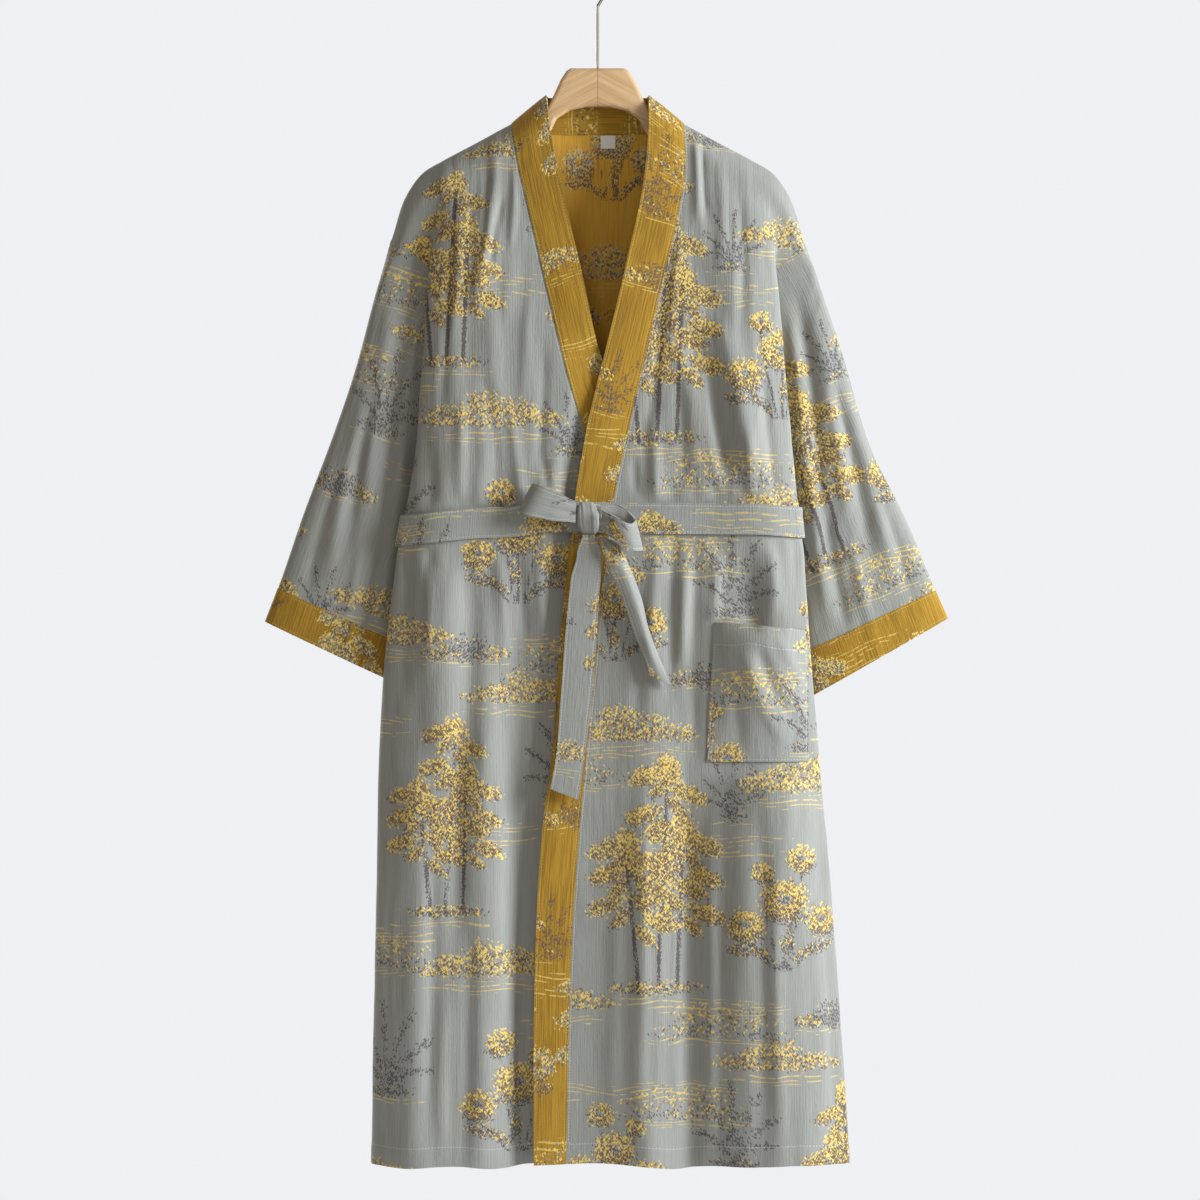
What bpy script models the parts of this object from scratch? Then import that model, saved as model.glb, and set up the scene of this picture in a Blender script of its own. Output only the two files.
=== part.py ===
# Kimono robe hung on its wooden hanger, every cloth piece a thin closed wall.
# Frame: the origin is the inside top of the hook's bend, +Z is up and the robe's front faces -Y.
# Left and right are the wearer's: the left front is at +X and lies on top.
# The tables are in millimetres. In them "down" is the drop below the top of the hanger's wood.
import math

import bmesh
import bpy
from mathutils import Vector
from mathutils.kdtree import KDTree

MM = 0.001
HOOK_RISE = 120.0
CLOTH = 2.0
BAND_CLOTH = 2.8
BELT_CLOTH = 2.4
SEAM_GAP = 0.3
CORNER_GAP = 0.5
TUCKED_GAP = 1.3
SHARP_MEETING = 0.35
LEAST_SINE = 0.25
MOST_RETREAT = 5.5
LEAST_FACING = 0.7
LEFT = 1
RIGHT = -1

# Each panel's columns run from the band out to the seam, and the back has three more at the neck.
NECK_COLUMNS = ("spine", "nape", "side")
UNDERARM_ROW = 6
COLUMN_STEPS = (4, 6, 3, 2, 1)
NECK_STEPS = (2, 2, 2)
ROW_STEPS = (3, 2, 2, 2, 2, 2, 1, 2, 4, 4, 3)
BELOW_BELT_STOP = 8.13

# Where the panels start to turn round to their side folds, and how flat that turn is.
YOKE_TURN_X = 174.0
FRONT_TURN = 15.0
BACK_TURN = 20.0
BODY_BACK_TURN = 14.0
YOKE_FLATNESS = 0.93
FRONT_FLATNESS = 0.74
BACK_FLATNESS = 0.85
BODY_BACK_FLATNESS = 0.78
SPINE_X = (50.0, 80.0, 97.0, 144.0)
SPINE_Y = 19.0


def table(columns, *rows):
    return [dict(zip(columns.split(), row)) for row in rows]


# The ridge over the hanger, from the neck out to where the sleeve is sewn on.
SHOULDER = table(
    "x down",
    (96.0, 62.5),
    (142.0, 87.5),
    (174.0, 104.5),
    (196.0, 118.0),
    (212.0, 139.0),
    (231.0, 193.0),
)

# The sloping rows above the underarm: the drop of each column, and how far front and back stand off.
YOKE_ROWS = table(
    "band chest turn fold tuck seam front back inset seam_front seam_back",
    (74, 99, 116, 129, 150, 198, 11, 11, -34, -8, 8),
    (112, 135, 152, 165, 178, 211, 20, 16, -23, -10, 10),
    (170, 188, 202, 212, 220, 232, 27, 19, 4, -9, 10),
    (250, 262, 268, 275, 282, 290, 31, 21, 8, -8, 10),
    (340, 346, 350, 353, 356, 360, 34, 22, 10, -6, 8),
)

# The level rows from the underarm to the hem.
BODY_ROWS = table(
    "down front back inset seam_y",
    (432, 36, 23, 12, 1),
    (460, 36, 24, 15, -2),
    (512, 36, 24, 13, -6),
    (690, 40, 27, 13, -7),
    (960, 43, 30, 8, -3),
    (1223, 45, 34, 5, -2),
)

# The body's outline: the fold that each front turns back on.
FOLD_EDGE = table(
    "down right left",
    (117, 196, 196), (130, 188, 194), (165, 182, 195), (215, 186.5, 198), (275, 191, 204),
    (353, 196.5, 210), (432, 202, 217), (505, 216, 225), (600, 232, 232), (690, 238, 239.5),
    (775, 239, 245), (908, 243.6, 257), (1041, 249, 270), (1152, 252, 279), (1223, 250.5, 279.5),
)

# Signed x of the collar band's two edges on each front.
TOP_SEAM = table(
    "down x",
    (62.5, 96), (114, 98), (180, 87), (264, 67), (392, 38), (492, 17), (642, -1),
    (753, -9), (886, -23), (1051, -31.5), (1223, -35),
)
TOP_EDGE = table(
    "down x",
    (31, 57), (71, 57), (144, 49), (213, 34), (286, 17), (397, -10), (486, -25),
    (642, -41.5), (753, -49), (871, -63), (1062, -70.5), (1223, -70.5),
)
UNDER_SEAM = table(
    "down x",
    (62.5, -96), (131, -84), (201, -66.5), (309, -43), (403, -16), (520, 14),
    (640, 23), (819, 25), (1223, 27),
)
UNDER_EDGE = table(
    "down x",
    (31, -57), (71, -53), (134, -40.5), (243, -15), (309, -1), (397, 27),
    (497, 47), (597, 58), (708, 64), (930, 69), (1223, 75),
)

# The band's free edge: how much higher it lies than the seam beside it, and its depth.
BAND_RISE = table(
    "down rise y",
    (62.5, 31.5, 0), (74, 31, -12), (112, 26, -21), (170, 19, -29), (250, 14, -34), (340, 11, -36),
    (432, 7, -37.5), (512, 3, -37.5), (690, 0, -41), (960, 0, -44), (1223, 0, -46),
)
NECK_EDGE = table("x y down", (57, 0, 31), (55, 10, 31.5), (36, 14, 29), (0, 15.5, 28))
NECK_SEAM = table("x y down", (0, 19, 72), (50, 18, 71.5), (88, 11, 67))

# The under front slips behind the top one, by this much, over this width beside the top band.
UNDERLAP_DEPTH = 8.0
UNDERLAP_START = 30.0
UNDERLAP_END = 4.0

# Largest folds, as lines from top to bottom: a positive height stands out, a negative one sinks in.
RIGHT_FOLDS = table(
    "x0 down0 x1 down1 width height",
    (-105, 60, -141, 300, 10, 5),
    (-88, 130, -100, 300, 9, 4),
    (-168, 520, -172, 800, 20, 6),
    (-140, 520, -146, 820, 14, -5),
    (-122, 640, -128, 1300, 22, 8),
    (-92, 690, -88, 1300, 13, -7),
    (-200, 760, -206, 1300, 20, 5),
)
LEFT_FOLDS = table(
    "x0 down0 x1 down1 width height",
    (100, 280, 152, 480, 11, -6),
    (133, 270, 176, 470, 13, 5),
    (168, 525, 172, 650, 15, -8),
    (99, 550, 94, 680, 9, 4),
    (76, 830, 74, 1300, 18, 8),
    (101, 830, 103, 1300, 12, -7),
    (160, 800, 156, 1300, 20, 5),
    (215, 900, 222, 1300, 18, -4),
)
BACK_FOLDS = table(
    "x0 down0 x1 down1 width height",
    (-128, 110, -120, 420, 18, -5),
    (122, 110, 128, 420, 18, -5),
    (-150, 560, -176, 1300, 24, 8),
    (-62, 540, -80, 1300, 22, -6),
    (18, 560, 10, 1300, 26, 8),
    (92, 560, 108, 1300, 22, -6),
    (168, 580, 196, 1300, 24, 7),
)
HEM_DOWN = 1223.0
HEM_WAVE_START = 900.0
HEM_WAVES = table(
    "x width height",
    (-215, 30, 2), (-110, 30, 4), (0, 40, -2), (90, 25, 4), (220, 40, -3),
)

# The sleeves hang as flat tubes: their outer and inner edges, and half the tube's thickness.
RIGHT_SLEEVE = table(
    "outer_x outer_down inner_x inner_down half",
    (231, 193, 190, 432, 10),
    (248, 252, 201, 450, 13),
    (269, 331, 212, 500, 14),
    (299, 420, 222, 545, 14),
    (331, 505, 229, 592, 14),
    (358, 584, 232.5, 641, 13),
    (372.5, 621.5, 236, 686, 13),
)
LEFT_SLEEVE = table(
    "outer_x outer_down inner_x inner_down half",
    (231, 193, 205, 432, 10),
    (249, 247, 215, 450, 13),
    (277, 331, 222, 500, 14),
    (303, 420, 228, 545, 14),
    (346, 508, 231, 592, 14),
    (378.5, 586.5, 235, 654, 13),
    (392.5, 618, 238.5, 706, 13),
)
# A sleeve leaves its seam outward by this much, and less of it in the upper half of the armhole.
SLEEVE_LEAVING = 9.0
UNDERARM_LEAVING_SHARE = 0.35
TUBE_FULLNESS = 0.7
SLEEVE_RINGS = (0.35, 0.75, 1.2, 1.8, 2.5, 3.2, 3.8, 4.4, 5.0)
CUFF_RINGS = (5.0, 5.5, 6.0)

# The belt's middle line round the body, and the bow tied in it.
BELT_WIDTH = 34.0
BELT_CLEARANCE = 0.5
BELT_LINE = table(
    "x down",
    (-225, 520), (-112, 511), (-40, 505), (60, 506.5), (168, 507.5), (235, 511),
)
BELT_BACK_DOWN = 514.0
BELT_CALM = 24.0
BELT_CALM_END = 85.0
KNOT = {"x": -10.5, "down": 507.0, "width": 25.0, "height": 35.0, "depth": 15.0, "round": 6.0}

# Each ribbon station: middle of the strip, half its width as a vector, both in x, y, down.
LOOP_RIGHT = table(
    "x y down half_x half_y half_down",
    (-24.0, -52.5, 500, 0.5, 0, -12),
    (-50, -51.5, 493.5, 5, 0, -15),
    (-76, -53, 486, 8, 0, -16.5),
    (-79.5, -57, 485, 8.5, 0, -16.5),
    (-76, -61, 486, 8, 0, -16.5),
    (-50, -64, 493.5, 5, 0, -15),
    (-24.0, -59.5, 500, 0.5, 0, -12),
)
LOOP_LEFT = table(
    "x y down half_x half_y half_down",
    (3.6, -52.5, 502, 0, 0, -12),
    (26, -52, 509, -2, 0, -17),
    (42, -56, 521, -4, 0, -18),
    (45.5, -62, 525, -4, 0, -17),
    (40, -69, 528, -3, -1, -15),
    (22, -71, 519, -1, -2, -13),
    (4.6, -60.5, 509, 1, -1, -11),
)
TAIL_LONG = table(
    "x y down half_x half_y half_down",
    (-10, -53.5, 524.9, 7, 0.5, 0),
    (-9, -50.5, 545, 13.5, 0.8, 0),
    (-13, -49.5, 575, 16.5, 0, 0),
    (-18.5, -49.5, 640, 17.5, 0, 0),
    (-24, -51, 710, 17, 0, 0),
    (-30, -52, 770, 15.8, 0, 0.5),
    (-36.5, -52.5, 812, 15.4, 0, 6),
)
TAIL_SHORT = table(
    "x y down half_x half_y half_down",
    (1.5, -54.5, 526.6, 3, 0.5, -1.2),
    (17, -58.5, 541, 8, 3, -5),
    (28.5, -57, 562, 9.5, 5, -3),
    (40, -56.5, 592, 9.5, 4, -2),
    (51, -56, 628, 8, 4, -1),
    (59, -55.5, 655, 8.5, 2, 1),
    (70, -55, 686, 12, 0, 6),
)

# The pocket: its edges, how far its mouth line slopes, and how far it stands off the front.
POCKET = {
    "x0": 124.0, "x1": 233.0, "down0": 622.0, "down1": 776.0, "slope": 9.0,
    "stand_off": 0.5, "bulge": 11.0, "gape": 9.0,
}
LABEL = {"x": 11.8, "down": 80.0, "width": 16.5, "height": 15.0, "thick": 0.8}

# The hanger: half of its flat outline, from the middle of the top round to the arch underneath.
WOOD_THICK = 12.0
WOOD_BEVEL = 4.0
WOOD_OUTLINE = table(
    "x down",
    (0, 0), (30, 0), (35, 3), (42, 14), (50.5, 33), (58, 46), (72, 57), (96, 72.5), (142, 95),
    (174, 111), (190, 121), (199, 131), (201, 143), (194, 150), (182, 146), (142, 122), (96, 100),
    (60, 80), (53, 71), (46, 57), (32, 47.5), (14, 43.5), (0, 43),
)
WIRE_RADIUS = 1.7
HOOK_BEND = 20.0
HOOK_END_DEGREES = 205.0
SHANK_TOP = 50.0

MATERIALS = {
    "robe_cloth": ((0.33, 0.36, 0.36), 0.95, 0.0),
    "band_cloth": ((0.36, 0.20, 0.035), 0.95, 0.0),
    "label_cloth": ((0.80, 0.79, 0.76), 0.9, 0.0),
    "wood": ((0.56, 0.36, 0.18), 0.5, 0.0),
    "steel": ((0.55, 0.55, 0.56), 0.3, 1.0),
}


# Plain helpers for places, curves and tables.
def place(x, y, down):
    return Vector((x, y, -(HOOK_RISE + down)))


def ease(start, end, value):
    share = min(max((value - start) / (end - start), 0.0), 1.0)
    return share * share * (3.0 - 2.0 * share)


def mix(first, second, share):
    return first + (second - first) * share


def along(rows, name, down):
    knots = [row["down"] for row in rows]
    values = [row[name] for row in rows]
    if down <= knots[0]:
        return values[0]
    if down >= knots[-1]:
        return values[-1]
    pairs = range(len(rows) - 1)
    slopes = [(values[i + 1] - values[i]) / (knots[i + 1] - knots[i]) for i in pairs]
    here = next(i for i in pairs if down <= knots[i + 1])
    gap = knots[here + 1] - knots[here]
    before = slopes[max(here - 1, 0)]
    after = slopes[min(here + 1, len(slopes) - 1)]
    start_slope = (before + slopes[here]) / 2.0
    end_slope = (slopes[here] + after) / 2.0
    t = (down - knots[here]) / gap
    return (
        (2 * t**3 - 3 * t**2 + 1) * values[here]
        + (t**3 - 2 * t**2 + t) * gap * start_slope
        + (3 * t**2 - 2 * t**3) * values[here + 1]
        + (t**3 - t**2) * gap * end_slope
    )


def heading(before, here, after):
    if before is None:
        return (after - here).normalized()
    if after is None:
        return (here - before).normalized()
    back = (here - before).length
    ahead = (after - here).length
    return ((here - before) / back * ahead + (after - here) / ahead * back) / (back + ahead)


def through(points, at, before=None, after=None, corner=None, sharpness=0.0):
    # Place on the smooth curve through the points. "at" counts the points from 0, and the curve
    # may have one corner, whose sharpness runs from 0, smooth, to 1, sharp.
    start = min(int(at), len(points) - 2)
    t = at - start
    nodes = [before] + points + [after]
    here = points[start]
    there = points[start + 1]
    leaving = heading(nodes[start], here, there)
    arriving = heading(here, there, nodes[start + 3])
    straight = (there - here).normalized()
    if start == corner:
        leaving = mix(leaving, straight, sharpness)
    if start + 1 == corner:
        arriving = mix(arriving, straight, sharpness)
    chord = (there - here).length
    return (
        here * (2 * t**3 - 3 * t**2 + 1)
        + leaving * chord * (t**3 - 2 * t**2 + t)
        + there * (3 * t**2 - 2 * t**3)
        + arriving * chord * (t**3 - t**2)
    )


def stepped(steps):
    stops = [0.0]
    for index, count in enumerate(steps):
        stops += [index + (step + 1) / count for step in range(count)]
    return stops


# Control places: one row of named columns for each side, from the shoulder ridge to the hem.
def fold_x(side, down):
    return along(FOLD_EDGE, "left" if side == LEFT else "right", down)


def front_controls(side):
    seam_line = TOP_SEAM if side == LEFT else UNDER_SEAM
    rows = [[place(side * row["x"], 0.0, row["down"]) for row in SHOULDER]]
    for index, row in enumerate(YOKE_ROWS):
        fold = fold_x(side, row["fold"])
        seam = fold - row["inset"]
        band = along(seam_line, "x", row["band"])
        turn = YOKE_TURN_X if index == 0 else fold - FRONT_TURN
        turn_y = -row["front"]
        fold_y = turn_y * (YOKE_FLATNESS if index == 0 else FRONT_FLATNESS)
        rows.append([
            place(band, -row["front"], row["band"]),
            place(mix(band, side * turn, 0.55), -row["front"] - min(index, 2), row["chest"]),
            place(side * turn, turn_y, row["turn"]),
            place(side * fold, fold_y, row["fold"]),
            place(side * mix(fold, seam, 0.45), mix(fold_y, row["seam_front"], 0.6), row["tuck"]),
            place(side * seam, row["seam_front"], row["seam"]),
        ])
    for row in BODY_ROWS:
        down = row["down"]
        fold = fold_x(side, down)
        seam = fold - row["inset"]
        band = along(seam_line, "x", down)
        fold_y = -row["front"] * FRONT_FLATNESS
        rows.append([
            place(band, -row["front"], down),
            place(mix(band, side * (fold - FRONT_TURN), 0.5), -row["front"] - 2.0, down),
            place(side * (fold - FRONT_TURN), -row["front"], down),
            place(side * fold, fold_y, down),
            place(side * mix(fold, seam, 0.5), mix(fold_y, row["seam_y"], 0.6), down),
            place(side * seam, row["seam_y"], down),
        ])
    return rows


def back_controls(side):
    neck = [place(side * spot["x"], spot["y"], spot["down"]) for spot in NECK_SEAM]
    rows = [neck + [place(side * row["x"], 0.0, row["down"]) for row in SHOULDER]]
    for index, row in enumerate(YOKE_ROWS):
        fold = fold_x(side, row["fold"])
        seam = fold - row["inset"]
        turn = YOKE_TURN_X if index == 0 else fold - BACK_TURN
        corner = fold if index == 0 else fold - 5.0
        corner_y = row["back"] * (YOKE_FLATNESS if index == 0 else BACK_FLATNESS)
        spine_y = SPINE_Y + 1.5 * min(index, 2)
        drop = max(10.0 - 6.0 * index, 0.0)
        rows.append([
            place(0.0, spine_y, row["band"] + drop),
            place(side * SPINE_X[0], mix(row["back"], spine_y, 0.7), row["band"] + drop),
            place(side * SPINE_X[1], mix(row["back"], spine_y, 0.4), row["band"] + drop * 0.6),
            place(side * SPINE_X[2], row["back"], row["band"]),
            place(side * SPINE_X[3], row["back"] + min(index, 2), row["chest"]),
            place(side * turn, row["back"], row["turn"]),
            place(side * corner, corner_y, row["fold"]),
            place(side * mix(corner, seam, 0.5), mix(corner_y, row["seam_back"], 0.6), row["tuck"]),
            place(side * seam, row["seam_back"], row["seam"]),
        ])
    for row in BODY_ROWS:
        down = row["down"]
        fold = fold_x(side, down)
        seam = fold - row["inset"]
        corner = fold - row["inset"] - 4.0
        corner_y = row["back"] * BODY_BACK_FLATNESS
        rows.append([
            place(0.0, row["back"] + 1.0, down),
            place(side * SPINE_X[0], row["back"] + 1.0, down),
            place(side * SPINE_X[1], row["back"] + 0.5, down),
            place(side * (SPINE_X[2] + 1.0), row["back"], down),
            place(side * (SPINE_X[3] + 2.0), row["back"], down),
            place(side * (corner - BODY_BACK_TURN), row["back"], down),
            place(side * corner, corner_y, down),
            place(side * mix(corner, seam, 0.45), mix(corner_y, row["seam_y"], 0.6), down),
            place(side * seam, row["seam_y"], down),
        ])
    return rows


CONTROLS = {
    (kind, side): controls(side)
    for kind, controls in (("front", front_controls), ("back", back_controls))
    for side in (LEFT, RIGHT)
}


def column_place(kind, side, column, at):
    # The seam column is two curves, armhole and side seam, so that it can turn at the underarm.
    places = [row[column] for row in CONTROLS[kind, side]]
    if column == len(CONTROLS[kind, side][0]) - 1:
        if at <= UNDERARM_ROW:
            return through(places[:UNDERARM_ROW + 1], at)
        return through(places[UNDERARM_ROW:], at - UNDERARM_ROW)
    before = None
    if kind == "front":
        before = CONTROLS["back", side][1][column + len(NECK_COLUMNS)]
    elif column >= len(NECK_COLUMNS):
        before = CONTROLS["front", side][1][column - len(NECK_COLUMNS)]
    return through(places, at, before)


def panel_place(kind, side, across, at):
    # Place on the smooth panel, before any folds: "across" counts columns and "at" counts rows.
    count = len(CONTROLS[kind, side][0])
    places = [column_place(kind, side, column, at) for column in range(count)]
    other = "back" if kind == "front" else "front"
    after = None
    if at >= UNDERARM_ROW:
        after = column_place(other, side, len(CONTROLS[other, side][0]) - 2, at)
    if kind == "front":
        return through(places, across, None, after)
    mirrored = Vector((-places[1].x, places[1].y, places[1].z))
    sharpness = max(1.0 - at, 0.0)
    return through(places, across, mirrored, after, len(NECK_COLUMNS), sharpness)


# Folds, the underlap and the hem move the panels' places.
def belt_down(x):
    spots = [Vector((row["x"], row["down"])) for row in BELT_LINE]
    if x <= spots[0].x:
        return spots[0].y
    if x >= spots[-1].x:
        return spots[-1].y
    index = next(i for i in range(len(spots) - 1) if x <= spots[i + 1].x)
    share = (x - spots[index].x) / (spots[index + 1].x - spots[index].x)
    return mix(spots[index].y, spots[index + 1].y, ease(0.0, 1.0, share))


def fold_height(folds, x, down):
    height = 0.0
    for fold in folds:
        share = (down - fold["down0"]) / (fold["down1"] - fold["down0"])
        if 0.0 < share < 1.0:
            middle = mix(fold["x0"], fold["x1"], share)
            ends = ease(0.0, 0.22, share) * ease(0.0, 0.22, 1.0 - share)
            height += fold["height"] * ends * math.exp(-((x - middle) / fold["width"]) ** 2)
    return height


def hem_drop(x):
    drops = (wave["height"] * math.exp(-((x - wave["x"]) / wave["width"]) ** 2) for wave in HEM_WAVES)
    return sum(drops)


def calm_at_belt(x, down):
    return ease(BELT_CALM, BELT_CALM_END, abs(down - belt_down(x)))


def underlap(x, down):
    free_edge = along(TOP_EDGE, "x", down)
    return UNDERLAP_DEPTH * ease(free_edge - UNDERLAP_START, free_edge - UNDERLAP_END, x)


def front_place(side, across, at, slipped=True):
    spot = panel_place("front", side, across, at)
    down = -spot.z - HOOK_RISE
    folds = LEFT_FOLDS if side == LEFT else RIGHT_FOLDS
    flat_share = 1.0 - ease(2.0, 3.0, across)
    free_share = ease(0.0, 1.2, across) if side == RIGHT else 1.0
    height = fold_height(folds, spot.x, down) * calm_at_belt(spot.x, down)
    spot.y -= height * flat_share * free_share * ease(0.0, 1.0, at)
    if side == RIGHT and slipped:
        spot.y += underlap(spot.x, down) * flat_share
    spot.z -= hem_drop(spot.x) * ease(HEM_WAVE_START, HEM_DOWN, down)
    return spot


def back_place(side, across, at):
    spot = panel_place("back", side, across, at)
    down = -spot.z - HOOK_RISE
    flat_share = 1.0 - ease(5.0, 6.0, across)
    height = fold_height(BACK_FOLDS, spot.x, down) * calm_at_belt(spot.x, down)
    spot.y += height * flat_share * ease(0.0, 1.0, at)
    spot.z -= hem_drop(spot.x) * ease(HEM_WAVE_START, HEM_DOWN, down)
    return spot


# Grids of places: a list of rows, each a list of places across.
ROWS = sorted(stepped(ROW_STEPS) + [BELOW_BELT_STOP])
COLUMNS = stepped(COLUMN_STEPS)
BACK_COLUMNS = stepped(NECK_STEPS + COLUMN_STEPS)


def front_grid(side):
    return [[front_place(side, across, at) for across in COLUMNS] for at in ROWS]


def back_grid():
    rows = []
    for at in ROWS:
        right = [back_place(RIGHT, across, at) for across in reversed(BACK_COLUMNS)]
        left = [back_place(LEFT, across, at) for across in BACK_COLUMNS[1:]]
        rows.append(right + left)
    return rows


def collar_grid(side, front, back):
    free_line = TOP_EDGE if side == LEFT else UNDER_EDGE
    rows = []
    for row, at in zip(reversed(front), reversed(ROWS)):
        seam = row[0]
        down = -panel_place("front", side, 0.0, at).z - HOOK_RISE
        free_down = down - along(BAND_RISE, "rise", down)
        free = place(along(free_line, "x", free_down), along(BAND_RISE, "y", down), free_down)
        if side == RIGHT:
            free.y += underlap(free.x, free_down)
        free.z -= hem_drop(free.x) * ease(HEM_WAVE_START, HEM_DOWN, free_down)
        rows.append((seam, free))
    neck_count = sum(NECK_STEPS)
    middle = len(back[0]) // 2
    edge = [place(side * spot["x"], spot["y"], spot["down"]) for spot in NECK_EDGE]
    for step in range(1, neck_count + 1):
        seam = back[0][middle + side * (neck_count - step)]
        mirrored = Vector((-edge[2].x, edge[2].y, edge[2].z))
        free = through(edge, 3.0 * step / neck_count, None, mirrored)
        rows.append((seam, free))
    return [[seam.copy(), mix(seam, free, 0.5), free] for seam, free in rows]


def sleeve_ring(side, at):
    # One ring of the flat tube: round the front from the outer edge, then back behind.
    rows = LEFT_SLEEVE if side == LEFT else RIGHT_SLEEVE
    outer = through([place(side * row["outer_x"], 0.0, row["outer_down"]) for row in rows], at)
    inner = through([place(side * row["inner_x"], 1.0, row["inner_down"]) for row in rows], at)
    halves = [Vector((row["half"], 0.0)) for row in rows]
    start = min(int(at), len(rows) - 2)
    half = mix(halves[start].x, halves[start + 1].x, at - start)
    first_outer = place(side * rows[0]["outer_x"], 0.0, rows[0]["outer_down"])
    first_inner = place(side * rows[0]["inner_x"], 1.0, rows[0]["inner_down"])
    fade = max(1.0 - at / 3.0, 0.0) ** 2
    armhole = [at_row for at_row in ROWS if at_row <= UNDERARM_ROW]
    ring = []
    for kind, facing, stops in (("front", -1.0, armhole), ("back", 1.0, armhole[-2:0:-1])):
        for stop in stops:
            turn = math.pi * stop / UNDERARM_ROW
            share = (1.0 - math.cos(turn)) / 2.0
            swell = math.sin(turn) ** TUBE_FULLNESS
            spot = mix(outer, inner, share) + Vector((0.0, facing * half * swell, 0.0))
            first = mix(first_outer, first_inner, share)
            first.y += facing * rows[0]["half"] * swell
            seam = front_place if kind == "front" else back_place
            column = len(CONTROLS[kind, side][0]) - 1
            leaving = SLEEVE_LEAVING * math.sin(turn)
            if turn > math.pi / 2.0:
                leaving = max(leaving, UNDERARM_LEAVING_SHARE * SLEEVE_LEAVING)
            leaving *= ease(0.0, 0.5, at) * (1.0 - ease(0.8, 3.0, at))
            outward = Vector((side * leaving, 0.0, 0.0))
            ring.append(spot + (seam(side, column, stop) - first) * fade + outward)
    return ring


def belt_grid():
    # Round the body from the middle of the front, over the top band, at three drops.
    return [belt_path(rise * BELT_WIDTH) for rise in (-0.5, 0.0, 0.5)]


def body_row(down):
    downs = [row["down"] for row in BODY_ROWS]
    index = next(i for i in range(len(downs) - 1) if down <= downs[i + 1])
    low = float(UNDERARM_ROW + index)
    high = low + 1.0
    for _ in range(30):
        middle = (low + high) / 2.0
        if -panel_place("back", LEFT, 0.0, middle).z - HOOK_RISE < down:
            low = middle
        else:
            high = middle
    return low


def belt_path(offset):
    def level(x, behind):
        front = belt_down(x)
        return mix(front, BELT_BACK_DOWN, behind) + offset

    path = []
    band_y = along(BAND_RISE, "y", belt_down(0.0))
    path.append(place(-8.0, band_y, level(-8.0, 0.0)))
    for across in COLUMNS:
        x = front_place(LEFT, across, body_row(belt_down(0.0))).x
        path.append(front_place(LEFT, across, body_row(level(x, 0.0))))
    for side, columns in ((LEFT, BACK_COLUMNS[-2::-1]), (RIGHT, BACK_COLUMNS[1:])):
        for across in columns:
            x = back_place(side, across, body_row(BELT_BACK_DOWN)).x
            behind = 1.0 - ease(6.0, 8.0, across)
            path.append(back_place(side, across, body_row(level(x, behind))))
    for across in COLUMNS[-2::-1]:
        spot = front_place(RIGHT, across, body_row(belt_down(-100.0)), slipped=False)
        if spot.x < -70.0:
            path.append(front_place(RIGHT, across, body_row(level(spot.x, 0.0)), slipped=False))
    path.append(place(-50.0, band_y, level(-50.0, 0.0)))
    path.append(place(-29.0, band_y, level(-29.0, 0.0)))
    stand_off = CLOTH / 2.0 + BELT_CLEARANCE + BELT_CLOTH / 2.0 + (BAND_CLOTH - CLOTH) / 2.0
    pushed = []
    for index, spot in enumerate(path):
        ahead = path[(index + 1) % len(path)] - path[index - 1]
        outward = Vector((ahead.y, -ahead.x, 0.0)).normalized()
        pushed.append(spot + outward * stand_off)
    return pushed


# Normals, seams and closed walls.
def grid_normals(grid, flip, wraps):
    rows = len(grid)
    columns = len(grid[0])
    normals = []
    for r in range(rows):
        line = []
        for c in range(columns):
            down = grid[min(r + 1, rows - 1)][c] - grid[max(r - 1, 0)][c]
            if wraps:
                over = grid[r][(c + 1) % columns] - grid[r][c - 1]
            else:
                over = grid[r][min(c + 1, columns - 1)] - grid[r][max(c - 1, 0)]
            line.append((down.cross(over) * flip).normalized())
        normals.append(line)
    return normals


class Sheet:
    # One cloth piece: its middle surface as a grid, its outward normals and its thickness.
    def __init__(self, name, grid, flip, thickness, finish, wraps=False):
        self.name = name
        self.grid = [[spot.copy() for spot in row] for row in grid]
        self.wraps = wraps
        self.thickness = thickness
        self.finish = finish
        self.normals = grid_normals(grid, flip, wraps)
        self.reach = [[1.0] * len(row) for row in grid]

    def edges(self):
        last_row = len(self.grid) - 1
        last_column = len(self.grid[0]) - 1
        for r, row in enumerate(self.grid):
            for c in range(len(row)):
                side_edge = not self.wraps and c in (0, last_column)
                if r in (0, last_row) or side_edge:
                    yield r, c

    def inward(self, r, c, normal):
        # Direction from an edge place into the sheet, square to the edge and to the normal.
        last_row = len(self.grid) - 1
        last_column = len(self.grid[0]) - 1
        here = self.grid[r][c]
        side_edge = self.grid[max(r - 1, 0)][c] - self.grid[min(r + 1, last_row)][c]
        steps = []
        if not self.wraps and c == 0:
            steps.append((self.grid[r][1] - here, side_edge))
        if not self.wraps and c == last_column:
            steps.append((self.grid[r][c - 1] - here, side_edge))
        if r in (0, last_row):
            step = self.grid[1][c] - here if r == 0 else self.grid[r - 1][c] - here
            columns = len(self.grid[0])
            if self.wraps:
                edge = self.grid[r][(c + 1) % columns] - self.grid[r][c - 1]
            else:
                edge = self.grid[r][min(c + 1, last_column)] - self.grid[r][max(c - 1, 0)]
            steps.append((step, edge))
        total = Vector((0.0, 0.0, 0.0))
        for step, edge in steps:
            edge = edge.normalized()
            step = step - edge * step.dot(edge)
            step = step - normal * step.dot(normal)
            total += step.normalized()
        return total.normalized()


def normal_of(member):
    sheet, r, c = member
    return sheet.normals[r][c]


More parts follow.
